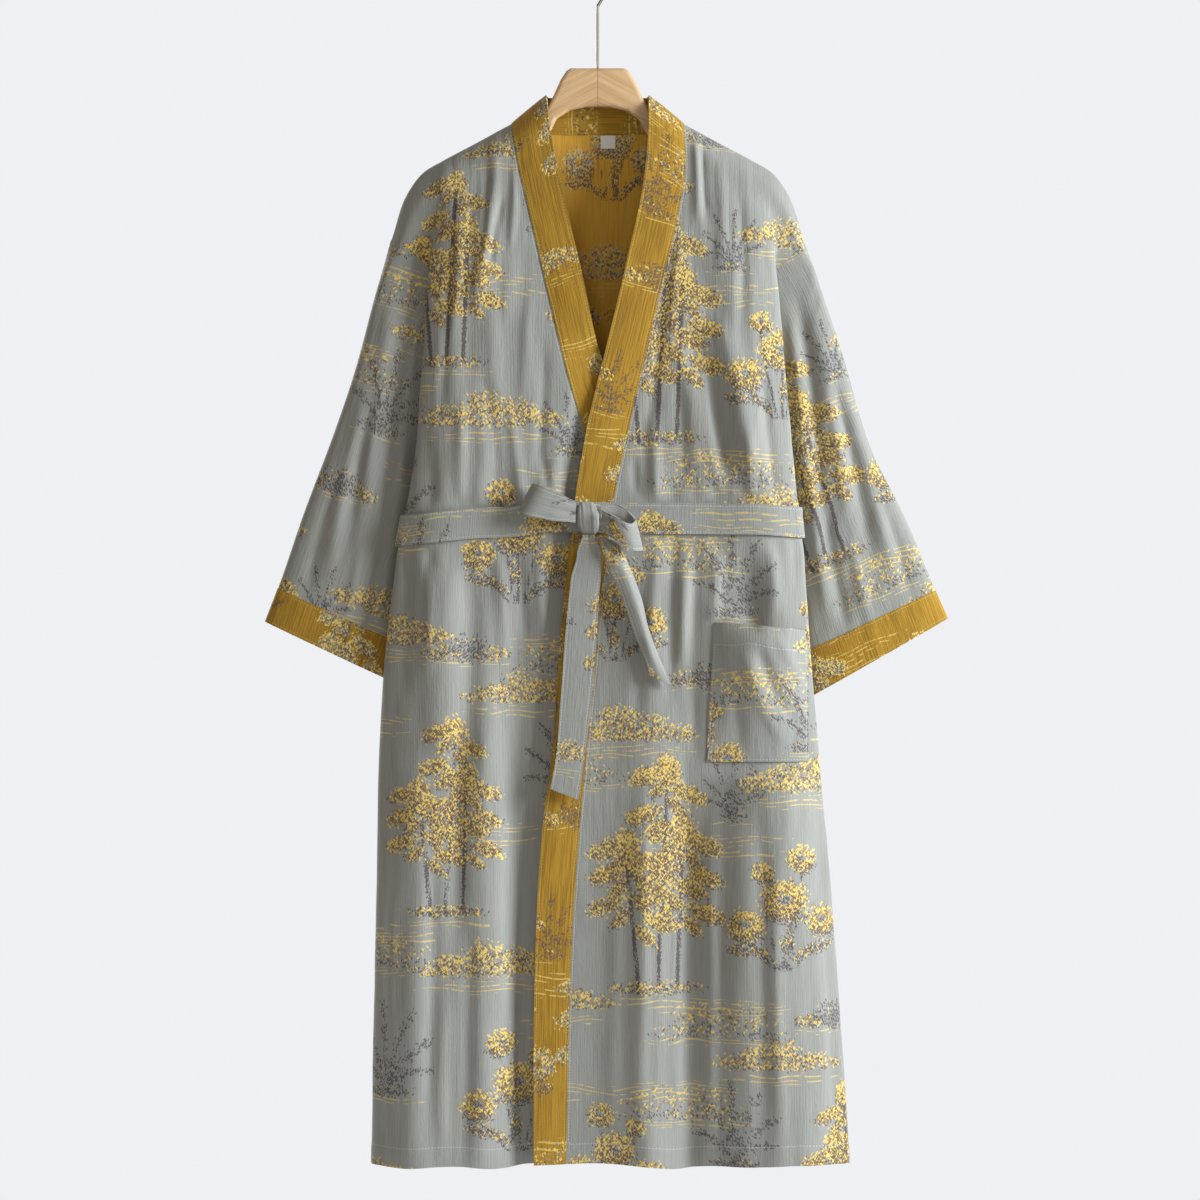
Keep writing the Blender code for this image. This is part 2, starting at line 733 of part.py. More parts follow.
def join_seams(sheets):
    # Places shared by several sheets are seams: the walls meet there on one common normal and stop
    # short of each other. Where a tube meets a panel at a sharp angle, the tube stops further away.
    spots = [(sheet, r, c) for sheet in sheets for r, c in sheet.edges()]
    tree = KDTree(len(spots))
    for index, (sheet, r, c) in enumerate(spots):
        tree.insert(sheet.grid[r][c], index)
    tree.balance()
    moves = []
    for sheet, r, c in spots:
        here = sheet.grid[r][c]
        group = [spots[index] for _, index, _ in tree.find_range(here, 0.05)]
        if len(group) < 2:
            continue
        own = sheet.normals[r][c]
        panels = [member for member in group if not member[0].wraps]
        tubes = [member for member in group if member[0].wraps]
        panel_normal = sum((normal_of(member) for member in panels), Vector((0.0, 0.0, 0.0)))
        retreat = (SEAM_GAP if len(group) == 2 else CORNER_GAP) / 2.0
        if panels and tubes:
            facing = panel_normal.normalized().dot(normal_of(tubes[0]))
            if facing < SHARP_MEETING:
                if sheet.wraps:
                    normal = own
                    angle = math.acos(max(-facing, -1.0))
                    half = CLOTH / 2.0
                    wanted = half + TUCKED_GAP + half * math.cos(angle)
                    wanted /= max(math.sin(angle), LEAST_SINE)
                    retreat = min(max(wanted, half + TUCKED_GAP), MOST_RETREAT)
                else:
                    normal = panel_normal.normalized()
            else:
                normal = (panel_normal.normalized() + normal_of(tubes[0])).normalized()
        else:
            shared = sum((normal_of(member) for member in group), Vector((0.0, 0.0, 0.0)))
            normal = shared.normalized()
        reach = 1.0 / max(normal.dot(own), LEAST_FACING)
        moves.append((sheet, r, c, normal, reach, sheet.inward(r, c, normal) * retreat))
    for sheet, r, c, normal, reach, move in moves:
        sheet.normals[r][c] = normal
        sheet.reach[r][c] = reach
        sheet.grid[r][c] = sheet.grid[r][c] + move


def finish_for(name):
    material = bpy.data.materials.get(name)
    if material is None:
        color, roughness, metallic = MATERIALS[name]
        material = bpy.data.materials.new(name)
        material.use_nodes = True
        shader = material.node_tree.nodes["Principled BSDF"]
        shader.inputs["Base Color"].default_value = (*color, 1.0)
        shader.inputs["Roughness"].default_value = roughness
        shader.inputs["Metallic"].default_value = metallic
    return material


def add_object(name, mesh_bm, finish, smooth_angle=50.0):
    bmesh.ops.recalc_face_normals(mesh_bm, faces=mesh_bm.faces)
    mesh = bpy.data.meshes.new(name)
    mesh_bm.to_mesh(mesh)
    mesh_bm.free()
    mesh.shade_smooth()
    mesh.set_sharp_from_angle(angle=math.radians(smooth_angle))
    mesh.materials.append(finish_for(finish))
    part = bpy.data.objects.new(name, mesh)
    bpy.context.collection.objects.link(part)
    return part


def add_wall(sheet):
    wall = bmesh.new()
    layers = []
    for way in (0.5, -0.5):
        layer = []
        for r, row in enumerate(sheet.grid):
            line = []
            for c, spot in enumerate(row):
                push = sheet.normals[r][c] * (sheet.thickness * sheet.reach[r][c] * way)
                line.append(wall.verts.new((spot + push) * MM))
            layer.append(line)
        layers.append(layer)
    outside, inside = layers
    rows = len(sheet.grid)
    columns = len(sheet.grid[0])
    spans = columns if sheet.wraps else columns - 1
    for r in range(rows - 1):
        for c in range(spans):
            d = (c + 1) % columns
            wall.faces.new((outside[r][c], outside[r][d], outside[r + 1][d], outside[r + 1][c]))
            wall.faces.new((inside[r][c], inside[r + 1][c], inside[r + 1][d], inside[r][d]))
    for c in range(spans):
        d = (c + 1) % columns
        for r in (0, rows - 1):
            wall.faces.new((outside[r][c], outside[r][d], inside[r][d], inside[r][c]))
    if not sheet.wraps:
        for r in range(rows - 1):
            for c in (0, columns - 1):
                wall.faces.new((outside[r][c], outside[r + 1][c], inside[r + 1][c], inside[r][c]))
    return add_object(sheet.name, wall, sheet.finish)


# The cloth pieces.
def ribbon_grid(rows, stops, across_steps=2):
    middles = [place(row["x"], row["y"], row["down"]) for row in rows]
    halves = [Vector((row["half_x"], row["half_y"], -row["half_down"])) for row in rows]
    grid = []
    for stop in range(stops + 1):
        at = stop * (len(rows) - 1) / stops
        middle = through(middles, at)
        start = min(int(at), len(rows) - 2)
        half = mix(halves[start], halves[start + 1], ease(0.0, 1.0, at - start))
        grid.append([middle + half * (2.0 * step / across_steps - 1.0) for step in range(across_steps + 1)])
    return grid


def front_at(side, x, down):
    # Place on a front at this x and drop, with the panel's outward direction there.
    row = body_row(down)
    low = 0.0
    high = 3.0
    for _ in range(30):
        middle = (low + high) / 2.0
        if side * front_place(side, middle, row).x < side * x:
            low = middle
        else:
            high = middle
    spot = front_place(side, low, row)
    over = front_place(side, low + 0.02, row) - front_place(side, low - 0.02, row)
    below = front_place(side, low, row + 0.02) - front_place(side, low, row - 0.02)
    outward = (below.cross(over) * side).normalized()
    return spot, outward


def pocket_grid():
    rows = []
    for r in range(9):
        share_down = r / 8.0
        down = mix(POCKET["down0"], POCKET["down1"], share_down)
        line = []
        for share in (0.0, 0.1, 0.25, 0.42, 0.58, 0.72, 0.82, 0.88, 0.92, 0.96, 1.0):
            lean = mix(6.0, -3.0, share_down)
            right = min(POCKET["x1"], fold_x(LEFT, down) - 4.0)
            x = mix(POCKET["x0"] + lean, right, share)
            slope = POCKET["slope"] * share * (1.0 - share_down)
            spot, outward = front_at(LEFT, x, down + slope)
            swell = math.sin(math.pi * share) * math.sin(math.pi * min(share_down + 0.18, 1.0))
            mouth = math.sin(math.pi * share) * (1.0 - share_down) ** 3
            away = CLOTH + POCKET["stand_off"] + POCKET["bulge"] * max(swell, 0.0) + POCKET["gape"] * mouth
            line.append(spot + outward * away)
        rows.append(line)
    return rows


def label_grid():
    rows = []
    for r in range(3):
        down = LABEL["down"] - LABEL["height"] / 2.0 + LABEL["height"] * r / 2.0
        line = []
        for c in range(3):
            x = LABEL["x"] - LABEL["width"] / 2.0 + LABEL["width"] * c / 2.0
            spot = body_back_at(x, down)
            spot.y -= CLOTH / 2.0 + SEAM_GAP + LABEL["thick"] / 2.0
            line.append(spot)
        rows.append(line)
    return rows


def body_back_at(x, down):
    low = 0.0
    high = 3.0
    across = abs(x) / 50.0
    for _ in range(30):
        middle = (low + high) / 2.0
        if -back_place(LEFT, across, middle).z - HOOK_RISE < down:
            low = middle
        else:
            high = middle
    spot = back_place(LEFT, across, low)
    return Vector((x, spot.y, -(HOOK_RISE + down)))


def cloth_pieces():
    fronts = {side: front_grid(side) for side in (LEFT, RIGHT)}
    back = back_grid()
    sheets = [
        Sheet("front_left", fronts[LEFT], LEFT, CLOTH, "robe_cloth"),
        Sheet("front_right", fronts[RIGHT], RIGHT, CLOTH, "robe_cloth"),
        Sheet("back", back, -1, CLOTH, "robe_cloth"),
    ]
    for side, word in ((LEFT, "left"), (RIGHT, "right")):
        collar = collar_grid(side, fronts[side], back)
        sheets.append(Sheet("collar_" + word, collar, side, BAND_CLOTH, "band_cloth"))
        sleeve = [sleeve_ring(side, at) for at in (0.0,) + SLEEVE_RINGS]
        sheets.append(Sheet("sleeve_" + word, sleeve, -side, CLOTH, "robe_cloth", True))
        cuff = [sleeve_ring(side, at) for at in CUFF_RINGS]
        sheets.append(Sheet("cuff_" + word, cuff, -side, BAND_CLOTH, "band_cloth", True))
    join_seams(sheets)
    sheets.append(Sheet("belt_waist", belt_grid(), 1, BELT_CLOTH, "robe_cloth", True))
    for name, rows, stops in (
        ("belt_loop_right", LOOP_RIGHT, 14),
        ("belt_loop_left", LOOP_LEFT, 14),
        ("belt_tail_long", TAIL_LONG, 12),
        ("belt_tail_short", TAIL_SHORT, 12),
    ):
        sheets.append(Sheet(name, ribbon_grid(rows, stops), 1, BELT_CLOTH, "robe_cloth"))
    sheets.append(Sheet("pocket", pocket_grid(), 1, CLOTH, "robe_cloth"))
    sheets.append(Sheet("neck_label", label_grid(), 1, LABEL["thick"], "label_cloth"))
    for sheet in sheets:
        add_wall(sheet)


def belt_front_y():
    return belt_path(0.0)[0].y - BELT_CLOTH / 2.0


def add_knot():
    knot = bmesh.new()
    bmesh.ops.create_cube(knot, size=1.0)
    for vert in knot.verts:
        vert.co.x *= KNOT["width"]
        vert.co.y *= KNOT["depth"]
        vert.co.z *= KNOT["height"]
        if vert.co.z < 0.0:
            vert.co.x = vert.co.x * 0.86 + 3.0
    edges = list(knot.edges)
    bmesh.ops.bevel(knot, geom=edges, offset=KNOT["round"], segments=3, profile=0.6, affect="EDGES")
    middle = place(KNOT["x"], belt_front_y() - SEAM_GAP - KNOT["depth"] / 2.0, KNOT["down"])
    for vert in knot.verts:
        vert.co = (vert.co + middle) * MM
    return add_object("belt_knot", knot, "robe_cloth")


def add_hanger():
    half = [(row["x"], row["down"]) for row in WOOD_OUTLINE]
    outline = half + [(-x, down) for x, down in half[-2:0:-1]]
    wood = bmesh.new()
    ring = [wood.verts.new(place(x, -WOOD_THICK / 2.0, down) * MM) for x, down in outline]
    face = wood.faces.new(ring)
    made = bmesh.ops.extrude_face_region(wood, geom=[face])
    for item in made["geom"]:
        if isinstance(item, bmesh.types.BMVert):
            item.co.y += WOOD_THICK * MM
    bmesh.ops.recalc_face_normals(wood, faces=wood.faces)
    rims = [
        edge for edge in wood.edges
        if abs(edge.verts[0].co.y - edge.verts[1].co.y) < 1e-6
    ]
    bmesh.ops.bevel(wood, geom=rims, offset=WOOD_BEVEL * MM, segments=3, profile=0.5, affect="EDGES")
    return add_object("hanger", wood, "wood")


def add_hook():
    # Straight shank, a reverse bend out to the right, then round over the rail to the open end.
    radius = HOOK_BEND + WIRE_RADIUS
    points = [
        Vector((0.0, -HOOK_RISE + SEAM_GAP)),
        Vector((0.0, -SHANK_TOP - 20.0)),
        Vector((0.0, -SHANK_TOP)),
        Vector((5.0, -SHANK_TOP + 8.0)),
    ]
    arc_steps = 16
    for step in range(arc_steps + 1):
        angle = math.radians(mix(-38.0, HOOK_END_DEGREES, step / arc_steps))
        points.append(Vector((radius * math.cos(angle), -HOOK_BEND + radius * math.sin(angle))))
    curve = bpy.data.curves.new("hanger_hook", "CURVE")
    curve.dimensions = "3D"
    curve.bevel_depth = WIRE_RADIUS * MM
    curve.bevel_resolution = 2
    curve.use_fill_caps = True
    spline = curve.splines.new("POLY")
    spline.points.add(len(points) - 1)
    for point, spot in zip(spline.points, points):
        point.co = (spot.x * MM, 0.0, spot.y * MM, 1.0)
    spline.use_smooth = True
    curve.materials.append(finish_for("steel"))
    hook = bpy.data.objects.new("hanger_hook", curve)
    bpy.context.collection.objects.link(hook)
    return hook


def main():
    for old in list(bpy.data.objects):
        bpy.data.objects.remove(old, do_unlink=True)
    cloth_pieces()
    add_knot()
    add_hanger()
    add_hook()


main()
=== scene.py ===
import math

import bpy
import numpy as np
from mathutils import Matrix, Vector, noise


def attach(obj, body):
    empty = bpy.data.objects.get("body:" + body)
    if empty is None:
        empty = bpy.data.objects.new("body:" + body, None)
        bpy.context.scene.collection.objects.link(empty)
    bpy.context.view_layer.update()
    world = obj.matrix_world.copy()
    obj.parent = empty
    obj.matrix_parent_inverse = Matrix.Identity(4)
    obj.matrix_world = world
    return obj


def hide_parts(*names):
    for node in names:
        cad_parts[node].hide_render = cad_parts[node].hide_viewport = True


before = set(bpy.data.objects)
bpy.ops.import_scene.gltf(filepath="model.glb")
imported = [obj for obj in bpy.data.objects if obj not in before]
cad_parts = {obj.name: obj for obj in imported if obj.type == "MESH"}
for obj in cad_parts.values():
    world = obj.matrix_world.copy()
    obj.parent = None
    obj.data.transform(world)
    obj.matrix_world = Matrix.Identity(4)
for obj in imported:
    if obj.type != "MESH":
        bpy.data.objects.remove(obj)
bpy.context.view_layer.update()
print("frame loaded")

# Lengths in the tables are millimetres, as on the cutting table. "down" is the drop below the
# top of the hanger's wood, and left and right are the wearer's.
robe = {
    "hookRise": 120.0,
    "clothThick": 1.5,
    "bandThick": 2.6,
    "beltThick": 2.2,
    "hemDepth": 22.0,
    "crinkle": 0.42,
    "creaseDepth": 1.7,
    "left": 1,
    "right": -1,
    "underarmRow": 6,
    "hemDown": 1223.0,
}
left = robe["left"]
right = robe["right"]


def makeTable(columns, *rows):
    return [dict(zip(columns.split(), row)) for row in rows]


def makeFolds(*rows):
    # from x0, down0 to x1, down1; a positive height stands out, and bow bends it sideways
    return makeTable("x0 down0 x1 down1 width height bow", *rows)


# Plain sums for places and curves.
def place(x, y, down):
    return Vector((x, y, -(robe["hookRise"] + down)))


def dropOf(grid):
    return -grid[:, :, 2] - robe["hookRise"]


def downOf(spot):
    return -spot.z - robe["hookRise"]


def mirroredPlace(spot):
    return Vector((-spot.x, spot.y, spot.z))


def ease(start, end, value):
    share = np.clip((value - start) / (end - start), 0.0, 1.0)
    return share * share * (3.0 - 2.0 * share)


def mix(first, second, share):
    return first + (second - first) * share


def hermite(start, leaving, end, arriving, t):
    # a smooth stretch from start to end, with its slope at both
    return (
        start * (2 * t**3 - 3 * t**2 + 1)
        + leaving * (t**3 - 2 * t**2 + t)
        + end * (3 * t**2 - 2 * t**3)
        + arriving * (t**3 - t**2)
    )


def bisect(low, high, rounds, fallsShort):
    for _ in range(rounds):
        middle = (low + high) / 2.0
        if fallsShort(middle):
            low = middle
        else:
            high = middle
    return low


def along(rows, name, down):
    knots = [row["down"] for row in rows]
    values = [row[name] for row in rows]
    if down <= knots[0]:
        return values[0]
    if down >= knots[-1]:
        return values[-1]
    rates = [(b - a) / (d - c) for a, b, c, d in zip(values, values[1:], knots, knots[1:])]
    here = next(i for i in range(len(rates)) if down <= knots[i + 1])
    gap = knots[here + 1] - knots[here]
    leaving = gap * (rates[max(here - 1, 0)] + rates[here]) / 2.0
    arriving = gap * (rates[here] + rates[min(here + 1, len(rates) - 1)]) / 2.0
    return hermite(values[here], leaving, values[here + 1], arriving, (down - knots[here]) / gap)


def heading(before, here, after):
    if before is None:
        return (after - here).normalized()
    if after is None:
        return (here - before).normalized()
    back = (here - before).length
    ahead = (after - here).length
    return ((here - before) / back * ahead + (after - here) / ahead * back) / (back + ahead)


def through(points, at, before=None, after=None, corner=None, sharpness=0.0):
    # a smooth curve through the points, with one corner if wanted
    start = min(int(at), len(points) - 2)
    nodes = [before] + points + [after]
    here = points[start]
    there = points[start + 1]
    leaving = heading(nodes[start], here, there)
    arriving = heading(here, there, nodes[start + 3])
    straight = (there - here).normalized()
    if start == corner:
        leaving = mix(leaving, straight, sharpness)
    if start + 1 == corner:
        arriving = mix(arriving, straight, sharpness)
    chord = (there - here).length
    return hermite(here, leaving * chord, there, arriving * chord, at - start)


def steppedStops(steps):
    stops = [0.0]
    for index, count in enumerate(steps):
        stops += [index + (step + 1) / count for step in range(count)]
    return stops


# The robe's cut as it hangs: the ridge over the hanger, then rows of columns down to the hem.
cut = {
    "shoulder": makeTable(
        "x down",
        (96, 62.5), (142, 87.5), (174, 104.5), (196, 118), (212, 139), (231, 193),
    ),
    "yokeRows": makeTable(
        "band chest turn fold tuck seam front back inset seamFront seamBack",
        (74, 99, 116, 129, 150, 198, 11, 11, -34, -8, 8),
        (112, 135, 152, 165, 178, 211, 20, 16, -23, -10, 10),
        (170, 188, 202, 212, 220, 232, 27, 19, 4, -9, 10),
        (250, 262, 268, 275, 282, 290, 31, 21, 8, -8, 10),
        (340, 346, 350, 353, 356, 360, 34, 22, 10, -6, 8),
    ),
    "bodyRows": makeTable(
        "down front back inset seamY",
        (432, 36, 23, 12, 1),
        (460, 36, 24, 15, -2),
        (512, 36, 24, 13, -6),
        (690, 40, 27, 13, -7),
        (960, 43, 30, 8, -3),
        (1223, 45, 34, 5, -2),
    ),
    "foldEdge": makeTable(
        "down right left",
        (117, 196, 196), (130, 188, 194), (165, 182, 195), (215, 186.5, 198), (275, 191, 204),
        (353, 196.5, 210), (432, 202, 217), (505, 216, 225), (600, 232, 232), (690, 238, 239.5),
        (775, 239, 245), (908, 243.6, 257), (1041, 249, 270), (1152, 252, 279),
        (1223, 250.5, 279.5),
    ),
    "topSeam": makeTable(
        "down x",
        (62.5, 96), (114, 98), (180, 87), (264, 67), (392, 38), (492, 17), (642, -1),
        (753, -9), (886, -23), (1051, -31.5), (1223, -35),
    ),
    "topEdge": makeTable(
        "down x",
        (31, 57), (71, 57), (144, 49), (213, 34), (286, 17), (397, -10), (486, -25),
        (642, -41.5), (753, -49), (871, -63), (1062, -70.5), (1223, -70.5),
    ),
    "underSeam": makeTable(
        "down x",
        (62.5, -96), (131, -84), (201, -66.5), (309, -43), (403, -16), (520, 14),
        (640, 23), (819, 25), (1223, 27),
    ),
    "underEdge": makeTable(
        "down x",
        (31, -57), (71, -53), (134, -40.5), (243, -15), (309, -1), (397, 27),
        (497, 47), (597, 58), (708, 64), (930, 69), (1223, 75),
    ),
    "bandRise": makeTable(
        "down rise y",
        (62.5, 31.5, 0), (74, 31, -12), (112, 26, -21), (170, 19, -29), (250, 14, -34),
        (340, 11, -36), (432, 7, -37.5), (512, 3, -37.5), (690, 0, -41), (960, 0, -44),
        (1223, 0, -46),
    ),
    "neckEdge": makeTable("x y down", (57, 0, 31), (55, 10, 31.5), (36, 14, 29), (0, 15.5, 28)),
    "neckSeam": makeTable("x y down", (0, 19, 72), (50, 18, 71.5), (88, 11, 67)),
    "hemWaves": makeTable(
        "x width height",
        (-215, 30, 2), (-110, 30, 4), (0, 40, -2), (90, 25, 4), (220, 40, -3),
    ),
    "underlapDepth": 8.0,
    "underlapStart": 30.0,
    "underlapEnd": 4.0,
    "waveStart": 900.0,
    # where the panels turn to the side, in from their fold, and how deep the fold lies
    "shoulderTurn": 174.0,
    "shoulderFold": 0.93,
    "frontTurn": 15.0,
    "frontFold": 0.74,
    "backTurn": 20.0,
    "backCorner": 5.0,
    "backFold": 0.85,
    "skirtTurn": 14.0,
    "skirtCorner": 4.0,
    "skirtFold": 0.78,
    # columns of the back between its spine and its turn, and how far it stands out at each
    "yokeColumns": (50.0, 80.0, 97.0, 144.0),
    "skirtColumns": ((0.0, 1.0), (50.0, 1.0), (80.0, 0.5), (98.0, 0.0), (146.0, 0.0)),
    # the first and last dense column of each panel's face, before it turns to the side
    "frontFace": (0, 56),
    "backFace": (16, 110),
    # the control column where that turn starts
    "turnColumn": {"front": 2.0, "back": 5.0},
    # where the under front lies quiet beside the top one's band: across, then down
    "underQuiet": ((-70.0, -30.0), (450.0, 520.0)),
}

# Main folds, then the smaller creases between them.
mainFolds = {
    right: makeFolds(
        (-105, 60, -141, 300, 10, 5),
        (-88, 130, -100, 300, 9, 4),
        (-168, 520, -172, 800, 20, 6),
        (-140, 520, -146, 820, 14, -5),
        (-122, 640, -128, 1300, 22, 8),
        (-92, 690, -88, 1300, 13, -7),
        (-200, 760, -206, 1300, 20, 5),
    ),
    left: makeFolds(
        (100, 280, 152, 480, 11, -6),
        (133, 270, 176, 470, 13, 5),
        (168, 525, 172, 650, 15, -8),
        (99, 550, 94, 680, 9, 4),
        (56, 790, 54, 1300, 20, 8),
        (101, 790, 103, 1300, 12, -8),
        (160, 800, 156, 1300, 20, 5),
        (215, 900, 222, 1300, 18, -4),
    ),
    "back": makeFolds(
        (-128, 110, -120, 420, 18, -5),
        (122, 110, 128, 420, 18, -5),
        (-150, 560, -176, 1300, 24, 8),
        (-62, 540, -80, 1300, 22, -6),
        (18, 560, 10, 1300, 26, 8),
        (92, 560, 108, 1300, 22, -6),
        (168, 580, 196, 1300, 24, 7),
    ),
}
creases = {
    right: makeFolds(
        (-121, 90, -136, 240, 5, -1.8, 3),
        (-104, 140, -120, 236, 4, -1.6, -2),
        (-92, 95, -98, 215, 4, 1.3, 2),
        (-152, 130, -166, 330, 7, 1.5, 4),
        (-165, 180, -176, 420, 6, -1.4, 3),
        (-74, 230, -82, 400, 6, 1.2, -2),
        (-60, 300, -66, 470, 6, -1.2, 2),
        (-128, 330, -110, 505, 8, -1.8, 4),
        (-148, 360, -150, 520, 6, 1.5, -3),
        (-96, 380, -84, 506, 6, 1.6, 0),
        (-184, 410, -190, 600, 6, -1.5, 3),
        (-60, 430, -52, 505, 5, -1.5, 0),
        (-205, 520, -214, 720, 7, -2.0, -3),
        (-188, 528, -190, 700, 6, 1.6, 3),
        (-112, 528, -104, 690, 6, 2.0, 3),
        (-86, 528, -78, 660, 6, -2.0, -2),
        (-66, 530, -60, 640, 5, 1.5, 0),
        (-158, 700, -160, 1000, 8, -2.2, 5),
        (-106, 760, -112, 1100, 6, 1.6, -3),
        (-184, 820, -190, 1223, 7, -2.0, 5),
        (-222, 840, -228, 1223, 7, 1.6, -4),
        (-142, 940, -148, 1240, 6, -1.8, 3),
        (-76, 900, -74, 1240, 6, 1.6, 2),
        (-168, 1010, -172, 1240, 6, 1.6, -2),
    ),
    left: makeFolds(
        (107, 66, 112, 190, 5, 1.8, 2),
        (118, 76, 122, 180, 4, -1.6, -2),
        (134, 92, 140, 240, 7, 1.3, 3),
        (156, 110, 160, 330, 6, -1.3, 4),
        (92, 170, 84, 330, 6, 1.3, -3),
        (70, 250, 56, 420, 6, -1.3, 2),
        (112, 300, 140, 500, 5, 2.0, -3),
        (86, 330, 96, 500, 7, -1.6, 3),
        (62, 380, 66, 505, 6, 1.6, 0),
        (180, 330, 196, 505, 6, -2.0, 3),
        (166, 400, 172, 506, 5, 1.7, 0),
        (40, 430, 44, 506, 5, -1.4, 0),
        (82, 528, 78, 720, 6, -2.0, 3),
        (112, 528, 108, 790, 7, -2.2, -4),
        (64, 530, 60, 690, 6, 1.8, 0),
        (132, 532, 126, 640, 6, 2.2, 2),
        (192, 528, 196, 620, 6, 1.8, 2),
        (46, 540, 40, 760, 7, -1.5, 3),
        (60, 780, 52, 1240, 7, -2.0, 5),
        (88, 840, 90, 1240, 5, 1.8, -2),
        (124, 800, 126, 1240, 7, 2.0, 4),
        (140, 880, 138, 1240, 5, -1.8, -3),
        (178, 800, 182, 1240, 7, -2.2, 4),
        (198, 840, 204, 1240, 6, 1.8, -4),
        (238, 900, 248, 1240, 7, 1.6, 4),
        (30, 860, 16, 1240, 8, 1.4, -5),
    ),
    "back": makeFolds(
        (-90, 110, -70, 400, 8, 1.6, 6),
        (84, 110, 74, 420, 8, 1.6, -6),
        (0, 130, 6, 500, 9, -1.6, 6),
        (-40, 180, -30, 505, 7, 1.4, -4),
        (44, 200, 36, 505, 7, -1.2, 5),
        (-160, 200, -150, 505, 8, 1.8, 5),
        (156, 220, 168, 505, 8, -1.8, -5),
        (-110, 530, -120, 900, 7, 2.0, 5),
        (-30, 530, -40, 860, 7, 2.2, -4),
        (60, 530, 66, 900, 7, 2.0, 5),
        (130, 530, 146, 880, 8, -2.2, -5),
        (-196, 560, -214, 1240, 8, -2.0, 5),
        (206, 560, 232, 1240, 8, -2.0, -5),
        (-110, 820, -124, 1240, 8, -1.8, 4),
        (-16, 800, -30, 1240, 8, -2.0, 4),
        (48, 780, 52, 1240, 8, 1.8, -4),
        (136, 840, 150, 1240, 8, 1.8, 4),
        (-214, 900, -232, 1240, 7, 1.5, 0),
    ),
}

# Broad slopes of the hanging cloth: it rises from one line to a crest and falls to the next.
slopes = {
    right: makeTable(
        "rise0 rise1 crest0 crest1 fall0 fall1 down0 down1 height",
        (-42, -46, -74, -76, -126, -130, 560, 1330, -11.0),
        (-212, -214, -203, -206, -190, -196, 150, 420, -4.5),
        (-98, -92, -120, -116, -142, -146, 130, 500, 3.5),
    ),
    left: makeTable(
        "rise0 rise1 crest0 crest1 fall0 fall1 down0 down1 height",
        (-22, -30, 46, 48, 98, 100, 600, 1330, 11.0),
        (101, 106, 198, 226, 254, 266, 700, 1330, 14.0),
        (44, 60, 78, 128, 108, 150, 190, 500, 4.0),
        (108, 154, 140, 182, 186, 200, 190, 500, 4.0),
        (116, 112, 150, 150, 188, 190, 535, 660, -5.0),
    ),
    "back": makeTable(
        "rise0 rise1 crest0 crest1 fall0 fall1 down0 down1 height",
        (-190, -220, -130, -150, -90, -100, 560, 1330, 7.0),
        (-60, -70, 0, -10, 40, 44, 560, 1330, -6.0),
        (60, 62, 120, 130, 180, 200, 560, 1330, 7.0),
    ),
}


def slopeHeights(rows, x, down):
    height = np.zeros(x.shape)
    for row in rows:
        share = np.clip((down - row["down0"]) / (row["down1"] - row["down0"]), 0.0, 1.0)
        rise, crest, fall = (
            mix(row[name + "0"], row[name + "1"], share) for name in ("rise", "crest", "fall")
        )
        fade = ease(0.0, 0.12, share) * ease(row["down1"], row["down1"] - 60.0, down)
        height += row["height"] * fade * ease(rise, crest, x) * ease(fall, crest, x)
    return height


def foldX(side, down):
    return along(cut["foldEdge"], "left" if side == left else "right", down)


def shoulderPlaces(side):
    return [place(side * row["x"], 0.0, row["down"]) for row in cut["shoulder"]]


def frontControls(side):
    seamLine = cut["topSeam"] if side == left else cut["underSeam"]
    rows = [shoulderPlaces(side)]
    for index, row in enumerate(cut["yokeRows"]):
        front = -row["front"]
        fold = foldX(side, row["fold"])
        seam = fold - row["inset"]
        band = along(seamLine, "x", row["band"])
        turn = cut["shoulderTurn"] if index == 0 else fold - cut["frontTurn"]
        foldY = front * cut["shoulderFold" if index == 0 else "frontFold"]
        rows.append([
            place(band, front, row["band"]),
            place(mix(band, side * turn, 0.55), front - min(index, 2), row["chest"]),
            place(side * turn, front, row["turn"]),
            place(side * fold, foldY, row["fold"]),
            place(side * mix(fold, seam, 0.45), mix(foldY, row["seamFront"], 0.6), row["tuck"]),
            place(side * seam, row["seamFront"], row["seam"]),
        ])
    for row in cut["bodyRows"]:
        down, front = row["down"], -row["front"]
        fold = foldX(side, down)
        seam = fold - row["inset"]
        band = along(seamLine, "x", down)
        turn = side * (fold - cut["frontTurn"])
        foldY = front * cut["frontFold"]
        rows.append([
            place(band, front, down),
            place(mix(band, turn, 0.5), front - 2.0, down),
            place(turn, front, down),
            place(side * fold, foldY, down),
            place(side * mix(fold, seam, 0.5), mix(foldY, row["seamY"], 0.6), down),
            place(side * seam, row["seamY"], down),
        ])
    return rows


